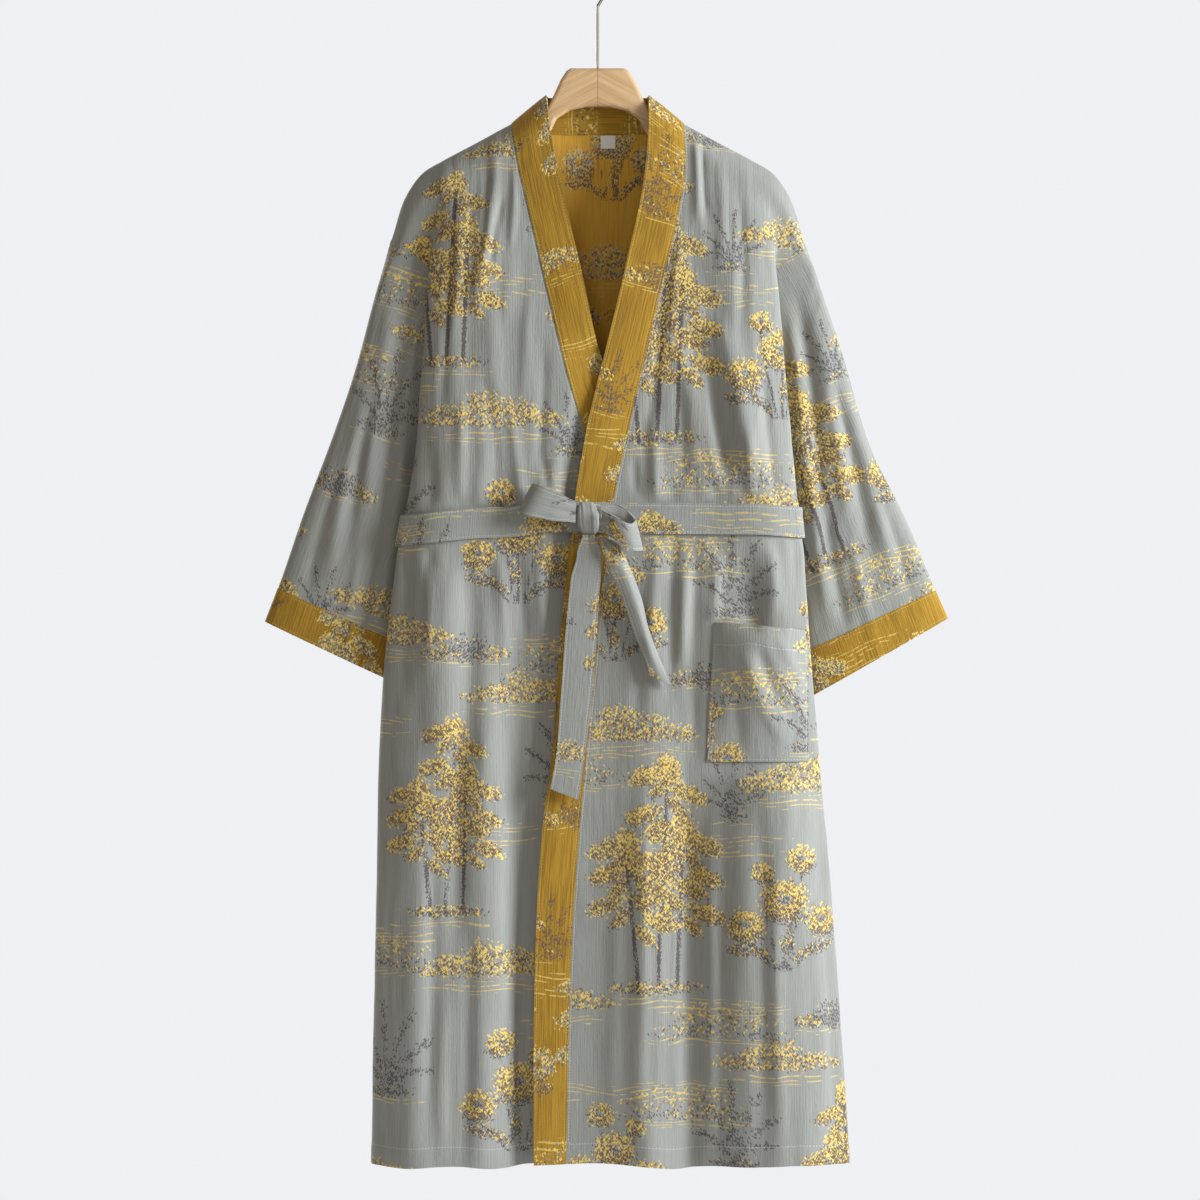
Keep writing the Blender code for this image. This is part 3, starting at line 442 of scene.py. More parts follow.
def backControls(side):
    neck = [place(side * spot["x"], spot["y"], spot["down"]) for spot in cut["neckSeam"]]
    rows = [neck + shoulderPlaces(side)]
    for index, row in enumerate(cut["yokeRows"]):
        back, band = row["back"], row["band"]
        near, blade, shoulder, arm = (side * x for x in cut["yokeColumns"])
        fold = foldX(side, row["fold"])
        seam = fold - row["inset"]
        turn = cut["shoulderTurn"] if index == 0 else fold - cut["backTurn"]
        corner = fold if index == 0 else fold - cut["backCorner"]
        cornerY = back * cut["shoulderFold" if index == 0 else "backFold"]
        # the spine hangs from the neck seam, a little lower and nearer than the blades
        spineY = 19.0 + 1.5 * min(index, 2)
        drop = max(10.0 - 6.0 * index, 0.0)
        rows.append([
            place(0.0, spineY, band + drop),
            place(near, mix(back, spineY, 0.7), band + drop),
            place(blade, mix(back, spineY, 0.4), band + drop * 0.6),
            place(shoulder, back, band),
            place(arm, back + min(index, 2), row["chest"]),
            place(side * turn, back, row["turn"]),
            place(side * corner, cornerY, row["fold"]),
            place(side * mix(corner, seam, 0.5), mix(cornerY, row["seamBack"], 0.6), row["tuck"]),
            place(side * seam, row["seamBack"], row["seam"]),
        ])
    for row in cut["bodyRows"]:
        down, back = row["down"], row["back"]
        seam = foldX(side, down) - row["inset"]
        corner = seam - cut["skirtCorner"]
        cornerY = back * cut["skirtFold"]
        spots = (*cut["skirtColumns"], (corner - cut["skirtTurn"], 0.0))
        rows.append([place(side * x, back + away, down) for x, away in spots] + [
            place(side * corner, cornerY, down),
            place(side * mix(corner, seam, 0.45), mix(cornerY, row["seamY"], 0.6), down),
            place(side * seam, row["seamY"], down),
        ])
    return rows


controls = {
    (kind, side): rows(side)
    for kind, rows in (("front", frontControls), ("back", backControls))
    for side in (left, right)
}
neckColumns = 3


def columnPlace(kind, side, column, at):
    places = [row[column] for row in controls[kind, side]]
    underarm = robe["underarmRow"]
    if column == len(controls[kind, side][0]) - 1:
        if at <= underarm:
            return through(places[:underarm + 1], at)
        return through(places[underarm:], at - underarm)
    before = None
    if kind == "front":
        before = controls["back", side][1][column + neckColumns]
    elif column >= neckColumns:
        before = controls["front", side][1][column - neckColumns]
    return through(places, at, before)


def panelRow(kind, side, acrossStops, at):
    count = len(controls[kind, side][0])
    places = [columnPlace(kind, side, column, at) for column in range(count)]
    other = "back" if kind == "front" else "front"
    after = None
    if at >= robe["underarmRow"]:
        after = columnPlace(other, side, len(controls[other, side][0]) - 2, at)
    if kind == "front":
        return [through(places, across, None, after) for across in acrossStops]
    before = mirroredPlace(places[1])
    sharp = max(1.0 - at, 0.0)
    return [through(places, across, before, after, neckColumns, sharp) for across in acrossStops]


beltCut = {
    "width": 34.0,
    "clearance": 0.5,
    "line": makeTable(
        "x down",
        (-225, 520), (-112, 511), (-40, 505), (60, 506.5), (168, 507.5), (235, 511),
    ),
    "backDown": 514.0,
    # how far from the belt's middle the folds, the creases and all small relief come back
    "foldCalm": (24.0, 85.0),
    "creaseCalm": (19.0, 40.0),
    "smallCalm": (15.0, 24.0),
    "pull": 1.2,
    "pullStart": (16.0, 26.0),
    "pullEnd": (30.0, 78.0),
}


def beltDown(x):
    spots = beltCut["line"]
    if x <= spots[0]["x"]:
        return spots[0]["down"]
    if x >= spots[-1]["x"]:
        return spots[-1]["down"]
    here, there = next(pair for pair in zip(spots, spots[1:]) if x <= pair[1]["x"])
    return mix(here["down"], there["down"], ease(here["x"], there["x"], x))


def foldHeights(folds, x, down, ends=0.22):
    height = np.zeros(x.shape)
    for fold in folds:
        share = (down - fold["down0"]) / (fold["down1"] - fold["down0"])
        middle = mix(fold["x0"], fold["x1"], share)
        middle = middle + fold.get("bow", 0.0) * np.sin(math.pi * np.clip(share, 0.0, 1.0))
        fade = ease(0.0, ends, share) * ease(0.0, ends, 1.0 - share)
        height += fold["height"] * fade * np.exp(-((x - middle) / fold["width"]) ** 2)
    return height


def hemDrop(x, down):
    drop = 0.0
    for wave in cut["hemWaves"]:
        drop = drop + wave["height"] * np.exp(-((x - wave["x"]) / wave["width"]) ** 2)
    return drop * ease(cut["waveStart"], robe["hemDown"], down)


def calmAtBelt(x, down):
    lines = np.vectorize(beltDown)(x)
    return ease(*beltCut["foldCalm"], np.abs(down - lines))


def faceShare(kind, across, loss=1.0, later=0.0):
    # 1 on a panel's face, less by the loss from where it turns to the side
    turn = cut["turnColumn"][kind] + later
    return 1.0 - loss * ease(turn, turn + 1.0, across)


def foldRelief(kind, side, x, down, across, at, broad=0.0):
    # how far the main folds stand out; the under front's free edge stays flat
    share = faceShare(kind, across)
    if kind == "front" and side == right:
        share = share * ease(0.0, 1.2, across)
    height = foldHeights(mainFolds[side if kind == "front" else "back"], x, down) + broad
    return height * calmAtBelt(x, down) * share * ease(0.0, 1.0, at)


def underlap(x, down):
    freeEdge = along(cut["topEdge"], "x", down)
    start = freeEdge - cut["underlapStart"]
    end = freeEdge - cut["underlapEnd"]
    return cut["underlapDepth"] * float(ease(start, end, x))


def toArray(rows):
    return np.array([[spot[:] for spot in row] for row in rows])


def normalsOf(grid, flip, wraps=False):
    down = np.gradient(grid, axis=0)
    if wraps:
        over = np.roll(grid, -1, axis=1) - np.roll(grid, 1, axis=1)
    else:
        over = np.gradient(grid, axis=1)
    normals = np.cross(down, over) * flip
    return normals / np.maximum(np.linalg.norm(normals, axis=2, keepdims=True), 1e-9)


def edgeDistances(grid):
    # distance in from each of the sheet's four edges, along the cloth
    across = np.linalg.norm(np.diff(grid, axis=1), axis=2)
    downward = np.linalg.norm(np.diff(grid, axis=0), axis=2)
    fromStart = np.concatenate([np.zeros((grid.shape[0], 1)), np.cumsum(across, axis=1)], axis=1)
    fromTop = np.concatenate([np.zeros((1, grid.shape[1])), np.cumsum(downward, axis=0)], axis=0)
    return fromStart, fromStart[:, -1:] - fromStart, fromTop, fromTop[-1:, :] - fromTop


def noiseField(first, second, seed):
    first, second = np.broadcast_arrays(first, second)
    pairs = zip(first.ravel().tolist(), second.ravel().tolist())
    return np.array([noise.noise(Vector((a, b, seed))) for a, b in pairs]).reshape(first.shape)


wrinkles = {
    # width and length of each size, and the broad ones' height against the fine ones'
    "fine": (5.5, 42.0),
    "broad": (15.0, 90.0),
    "gather": (70.0, 120.0),
    "broadShare": 2.2,
}


def crinkle(x, down, seed):
    # the crepe hand of washed double gauze: upright wrinkles of several widths
    def field(kind, shift):
        width, length = wrinkles[kind]
        return noiseField(x / width, down / length, seed + shift)

    gather = 0.55 + 0.9 * np.clip(field("gather", 3.0) + 0.2, 0.0, 1.0)
    height = field("fine", 0.0) * gather + field("broad", 7.0) * wrinkles["broadShare"]
    return robe["crinkle"] * height


def raised(grid, height, flip, wraps=False):
    return grid + normalsOf(grid, flip, wraps) * height[:, :, None]


# Steps between the panels' columns and rows, dense enough for the small creases.
backSteps = (11, 7, 5, 11, 13, 5, 6, 5)
frontAcross = steppedStops((30, 26, 7, 7, 8))
backAcross = steppedStops(backSteps)
rowStops = steppedStops((6, 10, 15, 20, 22, 22, 8, 14, 48, 70, 68))


def beltPull(x, reach):
    # small puckers that run into the tight belt from above and below
    wave = np.sin(x / 4.6 + 1.3 * np.sin(x / 17.0)) * 0.6 + np.sin(x / 9.7 + 2.0) * 0.7
    near = ease(*beltCut["pullStart"], reach) * (1.0 - ease(*beltCut["pullEnd"], reach))
    return beltCut["pull"] * wave * near


def smallCreases(rows, x, down):
    return robe["creaseDepth"] * foldHeights(rows, x, down, 0.3)


def smallRelief(rows, x, down, reach, shift, seed):
    # creases, puckers at the belt and the cloth's own crinkle
    small = smallCreases(rows, x, down) * ease(*beltCut["creaseCalm"], reach)
    small = small + beltPull(x + shift, reach) + crinkle(x, down, seed)
    return small * ease(*beltCut["smallCalm"], reach)


pocketHold = {
    # where the pocket's seams flatten the cloth: inward from its side, and down from top to bottom
    "broad": ((104.0, 122.0), (596.0, 622.0), (778.0, 806.0)),
    "small": ((112.0, 128.0), (612.0, 630.0), (775.0, 792.0)),
}


def underPocket(kind, x, down):
    side, top, bottom = pocketHold[kind]
    return ease(*side, x) * ease(*top, down) * (1.0 - ease(*bottom, down))


def frontGrid(side):
    grid = toArray([panelRow("front", side, frontAcross, at) for at in rowStops])
    x = grid[:, :, 0]
    down = dropOf(grid)
    across = np.array(frontAcross)[None, :]
    at = np.array(rowStops)[:, None]
    broad = slopeHeights(slopes[side], x, down)
    if side == left:
        broad = broad * ease(0.0, 1.0, across) * (1.0 - underPocket("broad", x, down))
    grid[:, :, 1] -= foldRelief("front", side, x, down, across, at, broad)
    if side == right:
        grid[:, :, 1] += np.vectorize(underlap)(x, down) * faceShare("front", across)
    grid[:, :, 2] -= hemDrop(x, down)
    reach = np.abs(down - np.vectorize(beltDown)(x))
    small = smallRelief(creases[side], x, down, reach, 0.0, 11.0 if side == left else 29.0)
    fromBand = edgeDistances(grid)[0]
    keep = ease(0.0, 0.6, at) * ease(0.0, 14.0, fromBand) * faceShare("front", across, 0.75, 1.0)
    if side == left:
        keep = keep * (1.0 - 0.85 * underPocket("small", x, down))
    else:
        sideways, downward = cut["underQuiet"]
        keep = keep * (1.0 - 0.8 * ease(*sideways, x) * ease(*downward, down))
    return raised(grid, small * keep, side)


def backGrid():
    halves = {}
    across = np.array(backAcross)[None, :]
    at = np.array(rowStops)[:, None]
    for side in (left, right):
        grid = toArray([panelRow("back", side, backAcross, at) for at in rowStops])
        x = grid[:, :, 0]
        down = dropOf(grid)
        broad = slopeHeights(slopes["back"], x, down)
        grid[:, :, 1] += foldRelief("back", side, x, down, across, at, broad)
        grid[:, :, 2] -= hemDrop(x, down)
        halves[side] = grid
    grid = np.concatenate([halves[right][:, ::-1], halves[left][:, 1:]], axis=1)
    x = grid[:, :, 0]
    down = dropOf(grid)
    across = np.array(backAcross[::-1] + backAcross[1:])[None, :]
    reach = np.abs(down - beltCut["backDown"])
    small = smallRelief(creases["back"], x, down, reach, 31.0, 53.0)
    keep = ease(0.3, 1.3, at) * faceShare("back", across, 0.75, 1.0)
    return raised(grid, small * keep, -1)


def collarGrid(side, front, back):
    freeLine = cut["topEdge"] if side == left else cut["underEdge"]
    rows = []
    for index in range(len(rowStops) - 1, -1, -1):
        down = downOf(columnPlace("front", side, 0, rowStops[index]))
        freeDown = down - along(cut["bandRise"], "rise", down)
        free = place(along(freeLine, "x", freeDown), along(cut["bandRise"], "y", down), freeDown)
        if side == right:
            free.y += underlap(free.x, freeDown)
        free.z -= float(hemDrop(free.x, freeDown))
        rows.append((Vector(front[index, 0]), free))
    # round the neck the band is sewn to the back
    neckCount = sum(backSteps[:neckColumns])
    middle = back.shape[1] // 2
    edge = [place(side * spot["x"], spot["y"], spot["down"]) for spot in cut["neckEdge"]]
    beyond = mirroredPlace(edge[2])
    for step in range(1, neckCount + 1):
        seam = Vector(back[0, middle + side * (neckCount - step)])
        rows.append((seam, through(edge, 3.0 * step / neckCount, None, beyond)))
    shares = [0.0, 0.03, 0.07, 0.14, 0.24, 0.36, 0.5, 0.64, 0.76, 0.86, 0.93, 0.97, 1.0]
    grid = np.array([[mix(seam, free, share)[:] for share in shares] for seam, free in rows])
    share = np.array(shares)[None, :]
    x = grid[:, :, 0]
    down = dropOf(grid)
    # the folded band is fullest along its middle, and puckers a little where it is sewn on
    puff = 0.5 * np.sin(math.pi * share) + 0.35 * noiseField(share * 2.0, down / 30.0, 5.0)
    pucker = 0.45 * noiseField(x / 16.0, down / 9.0, 17.0) * np.exp(-((share - 0.06) / 0.12) ** 2)
    wander = 0.9 * noiseField(x / 60.0, down / 75.0, 23.0) * ease(0.1, 0.9, share)
    quiet = ease(16.0, 26.0, np.abs(down - 506.0))
    return raised(grid, (puff + pucker + wander) * quiet, side)


# The sleeves hang as flat tubes: outer and inner edges and half the tube's thickness.
sleeveCut = {
    right: makeTable(
        "outerX outerDown innerX innerDown half",
        (231, 193, 190, 432, 10),
        (248, 252, 201, 450, 13),
        (269, 331, 212, 500, 14),
        (299, 420, 222, 545, 14),
        (331, 505, 229, 592, 14),
        (358, 584, 232.5, 641, 13),
        (372.5, 621.5, 236, 686, 13),
    ),
    left: makeTable(
        "outerX outerDown innerX innerDown half",
        (231, 193, 205, 432, 10),
        (249, 247, 215, 450, 13),
        (277, 331, 222, 500, 14),
        (303, 420, 228, 545, 14),
        (346, 508, 231, 592, 14),
        (378.5, 586.5, 235, 654, 13),
        (392.5, 618, 238.5, 706, 13),
    ),
    "leaving": 9.0,
    "ringStops": [step / 10.0 for step in range(61)],
    "creases": {
        (right, "front"): makeFolds(
            (-196, 250, -222, 500, 8, 2.4, -6),
            (-204, 270, -240, 520, 7, -2.4, -6),
            (-222, 230, -262, 520, 9, 2.2, -5),
            (-232, 300, -284, 560, 8, -2.2, -6),
            (-246, 330, -306, 600, 9, 2.0, -5),
            (-214, 400, -252, 640, 7, 1.8, 4),
            (-232, 470, -262, 650, 6, -1.8, 3),
            (-284, 440, -330, 610, 7, -1.6, -4),
            (-262, 520, -292, 660, 6, 1.6, 2),
        ),
        (right, "back"): makeFolds(
            (-206, 260, -240, 520, 9, 2.2, 6),
            (-226, 240, -280, 560, 9, -2.2, -6),
            (-240, 360, -310, 610, 9, 2.0, 4),
            (-226, 440, -262, 650, 7, -1.8, 3),
        ),
        (left, "front"): makeFolds(
            (210, 250, 232, 500, 8, 2.4, 6),
            (222, 240, 252, 520, 7, -2.4, 5),
            (238, 250, 282, 540, 9, 2.2, 6),
            (252, 320, 312, 580, 8, -2.2, 6),
            (266, 330, 338, 600, 9, 2.0, 6),
            (236, 420, 262, 640, 7, 2.2, -4),
            (252, 470, 286, 660, 6, -1.8, -3),
            (300, 440, 356, 620, 7, -1.6, 5),
            (282, 520, 318, 670, 6, 1.8, -2),
        ),
        (left, "back"): makeFolds(
            (220, 260, 252, 520, 9, 2.2, -6),
            (240, 240, 300, 560, 9, -2.2, 6),
            (262, 360, 330, 610, 9, 2.0, -4),
            (240, 440, 276, 650, 7, -1.8, -3),
        ),
    },
}


def sleeveGrid(side, alongStops):
    rows = sleeveCut[side]
    stops = sleeveCut["ringStops"]
    ring = [("front", stop) for stop in stops] + [("back", stop) for stop in stops[-2:0:-1]]
    turn = np.array([math.pi * stop / 6.0 for _, stop in ring])
    facing = np.array([-1.0 if kind == "front" else 1.0 for kind, _ in ring])
    lastColumn = {kind: len(controls[kind, side][0]) - 1 for kind in ("front", "back")}
    seams = np.array([columnPlace(kind, side, lastColumn[kind], stop)[:] for kind, stop in ring])
    share = ((1.0 - np.cos(turn)) / 2.0)[:, None]
    swell = np.sin(turn) ** 0.7
    outers = [place(side * row["outerX"], 0.0, row["outerDown"]) for row in rows]
    inners = [place(side * row["innerX"], 1.0, row["innerDown"]) for row in rows]

    def ringAt(at):
        start = min(int(at), len(rows) - 2)
        half = mix(rows[start]["half"], rows[start + 1]["half"], at - start)
        outer, inner = (np.array(through(edge, at)[:]) for edge in (outers, inners))
        spots = outer * (1.0 - share) + inner * share
        spots[:, 1] += facing * half * swell
        return spots

    # it leaves the armhole outward, and at the underarm it keeps a share of that
    outward = sleeveCut["leaving"] * np.sin(turn)
    lower = np.maximum(outward, 0.35 * sleeveCut["leaving"])
    outward = side * np.where(turn > math.pi / 2.0, lower, outward)
    first = ringAt(0.0)
    grid = []
    for at in alongStops:
        spots = ringAt(at) + (seams - first) * max(1.0 - at / 3.0, 0.0) ** 2
        spots[:, 0] += outward * ease(0.0, 0.5, at) * (1.0 - ease(0.8, 3.0, at))
        grid.append(spots)
    grid = np.array(grid)
    x = grid[:, :, 0]
    down = dropOf(grid)
    front, back = (
        smallCreases(sleeveCut["creases"][side, kind], x, down) for kind in ("front", "back")
    )
    small = np.where(facing[None, :] < 0.0, front, back)
    small = small + crinkle(x * 0.95 + down * 0.3, down, 71.0 + side)
    at = np.array(alongStops)[:, None]
    flat = np.clip(np.sin(turn) ** 0.5, 0.0, 1.0)[None, :]
    keep = flat * ease(0.0, 0.7, at) * (1.0 - 0.6 * ease(4.6, 5.0, at))
    return raised(grid, small * keep, -side, True)


def refine(grid, steps, wraps=False):
    # puts more places between a grid's columns, on a smooth curve through them
    count = grid.shape[1]
    if wraps:
        padded = np.concatenate([grid[:, -1:], grid, grid[:, :2]], axis=1)
    else:
        before = 2 * grid[:, :1] - grid[:, 1:2]
        after = 2 * grid[:, -1:] - grid[:, -2:-1]
        padded = np.concatenate([before, grid, after], axis=1)
    lines = []
    for index in range(count if wraps else count - 1):
        a, b, c, d = (padded[:, index + step] for step in range(4))
        for step in range(steps):
            t = step / steps
            bend = (2 * a - 5 * b + 4 * c - d) * t**2 + (3 * b - a - 3 * c + d) * t**3
            lines.append(0.5 * (2 * b + (c - a) * t + bend))
    if not wraps:
        lines.append(grid[:, -1])
    return np.stack(lines, axis=1)


def refineRows(grid, steps):
    return refine(grid.transpose(1, 0, 2), steps).transpose(1, 0, 2)


# One place on a panel with its main folds, for what lies on it: belt, pocket and label.
def panelSpot(kind, side, across, at, slipped=True):
    spot = panelRow(kind, side, [across], at)[0]
    down = downOf(spot)
    x = np.array([spot.x])
    height = float(foldRelief(kind, side, x, np.array([down]), across, at)[0])
    spot.y += height if kind == "back" else -height
    if kind == "front" and side == right and slipped:
        spot.y += underlap(spot.x, down) * float(faceShare("front", across))
    spot.z -= float(hemDrop(spot.x, down))
    return spot


def bodyRow(down):
    downs = [row["down"] for row in cut["bodyRows"]]
    index = next(i for i in range(len(downs) - 1) if down <= downs[i + 1])
    low = float(robe["underarmRow"] + index)

    return bisect(low, low + 1.0, 16, lambda at: downOf(columnPlace("back", left, 0, at)) < down)


def beltPath(offset):
    coarseFront = steppedStops((4, 6, 3, 2, 1))
    coarseBack = steppedStops((2, 2, 2, 4, 6, 3, 2, 1))

    def level(x, behind=0.0):
        return mix(beltDown(x), beltCut["backDown"], behind) + offset

    # over the band at the knot, then round the left front, the back and the right front to it
    bandY = along(cut["bandRise"], "y", beltDown(0.0))
    path = [place(-8.0, bandY, level(-8.0))]
    for across in coarseFront:
        x = panelSpot("front", left, across, bodyRow(beltDown(0.0))).x
        path.append(panelSpot("front", left, across, bodyRow(level(x))))
    for side, columns in ((left, coarseBack[-2::-1]), (right, coarseBack[1:])):
        for across in columns:
            x = panelSpot("back", side, across, bodyRow(beltCut["backDown"])).x
            behind = 1.0 - float(ease(6.0, 8.0, across))
            path.append(panelSpot("back", side, across, bodyRow(level(x, behind))))
    for across in coarseFront[-2::-1]:
        x = panelSpot("front", right, across, bodyRow(beltDown(-100.0)), False).x
        if x < -70.0:
            path.append(panelSpot("front", right, across, bodyRow(level(x)), False))
    return path + [place(x, bandY, level(x)) for x in (-50.0, -29.0)]


def beltGrid():
    rows = []
    # half of each wall, the clearance, and the band's greater thickness
    standOff = 1.0 + beltCut["clearance"] + 1.2 + 0.4
    for rise in (-0.5, 0.0, 0.5):
        path = beltPath(rise * beltCut["width"])
        pushed = []
        for index, spot in enumerate(path):
            ahead = path[(index + 1) % len(path)] - path[index - 1]
            outward = Vector((ahead.y, -ahead.x, 0.0)).normalized()
            pushed.append((spot + outward * standOff)[:])
        rows.append(pushed)
    grid = refineRows(refine(np.array(rows), 6, True), 5)
    x = grid[:, :, 0]
    share = np.linspace(0.0, 1.0, grid.shape[0])[:, None]
    # long soft creases along the belt, drawn together at the knot
    small = 0.45 * noiseField(x / 46.0, share * 3.6, 83.0)
    small = small + 0.3 * noiseField(x / 12.0, share * 5.0, 91.0)
    near = np.exp(-((x + 10.0) / 55.0) ** 2) * (grid[:, :, 1] < 0.0)
    small = small + near * 0.9 * np.sin(share * 13.0 + x / 30.0) * np.sin(math.pi * share)
    return raised(grid, small, 1, True)


# The bow: the middle of each strip and half its width as a vector, from end to end.
bow = {
    "loopRight": makeTable(
        "x y down halfX halfY halfDown",
        (-24.0, -52.5, 500, 0.5, 0, -12),
        (-50, -51.5, 493.5, 5, 0, -15),
        (-76, -53, 486, 8, 0, -16.5),
        (-79.5, -57, 485, 8.5, 0, -16.5),
        (-76, -61, 486, 8, 0, -16.5),
        (-50, -64, 493.5, 5, 0, -15),
        (-24.0, -59.5, 500, 0.5, 0, -12),
    ),
    "loopLeft": makeTable(
        "x y down halfX halfY halfDown",
        (3.6, -52.5, 502, 0, 0, -12),
        (26, -52, 509, -2, 0, -17),
        (42, -56, 521, -4, 0, -18),
        (45.5, -62, 525, -4, 0, -17),
        (40, -69, 528, -3, -1, -15),
        (22, -71, 519, -1, -2, -13),
        (4.6, -60.5, 509, 1, -1, -11),
    ),
    "tailLong": makeTable(
        "x y down halfX halfY halfDown",
        (-10, -53.5, 524.9, 7, 0.5, 0),
        (-9, -50.5, 545, 13.5, 0.8, 0),
        (-13, -49.5, 575, 16.5, 0, 0),
        (-18.5, -49.5, 640, 17.5, 0, 0),
        (-24, -51, 710, 17, 0, 0),
        (-30, -52, 770, 15.8, 0, 0.5),
        (-36.5, -52.5, 812, 15.4, 0, 6),
    ),
    "tailShort": makeTable(
        "x y down halfX halfY halfDown",
        (1.5, -54.5, 526.6, 3, 0.5, -1.2),
        (17, -58.5, 541, 8, 3, -5),
        (28.5, -57, 562, 9.5, 5, -3),
        (40, -56.5, 592, 9.5, 4, -2),
        (51, -56, 628, 8, 4, -1),
        (59, -55.5, 655, 8.5, 2, 1),
        (70, -55, 686, 12, 0, 6),
    ),
    "knot": {
        "x": -10.5, "down": 507.0, "width": 27.0, "height": 37.0, "depth": 15.0, "lean": 0.16,
        "standOff": 3.8, "square": (0.62, 0.72, 0.62),
        "pleats": makeTable(
            "at width depth",
            (-0.52, 0.10, 0.8), (-0.12, 0.12, 1.15), (0.26, 0.09, 0.9), (0.62, 0.08, 0.7),
        ),
    },
    "gather": 1.1,
}


def ribbonGrid(rows, stops, acrossSteps, gatherStart, gatherEnd, crease, seed):
    middles = [place(row["x"], row["y"], row["down"]) for row in rows]
    halves = [Vector((row["halfX"], row["halfY"], -row["halfDown"])) for row in rows]
    across = np.linspace(-1.0, 1.0, acrossSteps + 1)
    grid = []
    for stop in range(stops + 1):
        at = stop * (len(rows) - 1) / stops
        middle = through(middles, at)
        start = min(int(at), len(rows) - 2)
        half = mix(halves[start], halves[start + 1], float(ease(0.0, 1.0, at - start)))
        grid.append([(middle + half * reach)[:] for reach in across.tolist()])
    grid = np.array(grid)
    share = np.linspace(0.0, 1.0, stops + 1)[:, None]
    # pleats run out of the knot and fade along the ribbon
    near = gatherStart * np.exp(-(share / 0.16) ** 2)
    near = near + gatherEnd * np.exp(-((1.0 - share) / 0.16) ** 2)
    pleats = np.sin(across * 7.0 + seed) * (1.0 - across**2)
    soft = 0.5 * noiseField(share * 6.0, across * 1.1, seed)
    # a strip that is creased along its middle bends back at both edges
    bent = ease(0.04, 0.25, share) * (1.0 - 0.75 * ease(0.75, 1.0, share))
    bend = -crease * np.abs(across) ** 1.4 * bent
    return raised(grid, bow["gather"] * near * pleats + soft + bend, 1)


pocketCut = {
    "x0": 124.0, "x1": 233.0, "down0": 622.0, "down1": 776.0, "slope": 9.0,
    "lift": 1.7, "bulge": 11.0, "gape": 9.0,
    "acrossShares": (0.0, 0.1, 0.25, 0.42, 0.58, 0.72, 0.82, 0.88, 0.92, 0.96, 1.0),
    # the deep soft fold that runs down across the pocket, and three lesser ones
    "folds": makeFolds(
        (176, 640, 222, 742, 9, -3.6, -6),
        (160, 644, 206, 762, 8, 2.2, -4),
        (196, 630, 230, 700, 7, 2.2, 0),
        (140, 660, 158, 770, 7, -1.6, 3),
    ),
}


def frontAt(x, down):
    row = bodyRow(down)

    def spotAt(across, nudge=0.0):
        return panelSpot("front", left, across, row + nudge)

    low = bisect(0.0, 3.0, 18, lambda across: spotAt(across).x < x)
    over = spotAt(low + 0.02) - spotAt(low - 0.02)
    below = spotAt(low, 0.02) - spotAt(low, -0.02)
    return spotAt(low), below.cross(over).normalized()


def pocketGrid():
    rows = []
    for r in range(9):
        shareDown = r / 8.0
        down = mix(pocketCut["down0"], pocketCut["down1"], shareDown)
        inner = pocketCut["x0"] + mix(6.0, -3.0, shareDown)
        outer = min(pocketCut["x1"], foldX(left, down) - 4.0)
        line = []
        for share in pocketCut["acrossShares"]:
            slope = pocketCut["slope"] * share * (1.0 - shareDown)
            spot, outward = frontAt(mix(inner, outer, share), down + slope)
            arch = math.sin(math.pi * share)
            swell = arch * math.sin(math.pi * min(shareDown + 0.18, 1.0))
            mouth = arch * (1.0 - shareDown) ** 3
            away = pocketCut["bulge"] * max(swell, 0.0) + pocketCut["gape"] * mouth
            line.append((spot + outward * (pocketCut["lift"] + away))[:])
        rows.append(line)
    grid = refineRows(refine(np.array(rows), 6), 6)
    x = grid[:, :, 0]
    down = dropOf(grid)
    fromLeft, fromRight, _, fromBottom = edgeDistances(grid)
    keep = ease(2.0, 12.0, fromLeft) * ease(2.0, 12.0, fromRight) * ease(2.0, 14.0, fromBottom)
    small = foldHeights(pocketCut["folds"], x, down, 0.3) + crinkle(x, down, 37.0) * 0.8
    return raised(grid, small * keep, 1)


labelCut = {
    "x": 11.8, "down": 80.0, "width": 16.5, "height": 15.0,
    "thick": 0.7, "lift": 1.5, "curl": 1.4,
}


def labelGrid():
    spread = np.linspace(-0.5, 0.5, 9)
    rows = []
    for share in spread:
        down = share * labelCut["height"] + labelCut["down"]
        line = []
        for x in spread * labelCut["width"] + labelCut["x"]:
            across = abs(x) / 50.0

            def spotAt(at):
                return panelSpot("back", left, across, at)

            y = spotAt(bisect(0.0, 3.0, 16, lambda at: downOf(spotAt(at)) < down)).y
            curl = labelCut["curl"] * (share + 0.5) ** 2
            line.append((x, y - labelCut["lift"] - curl, -(robe["hookRise"] + down)))
        rows.append(line)
    return np.array(rows)


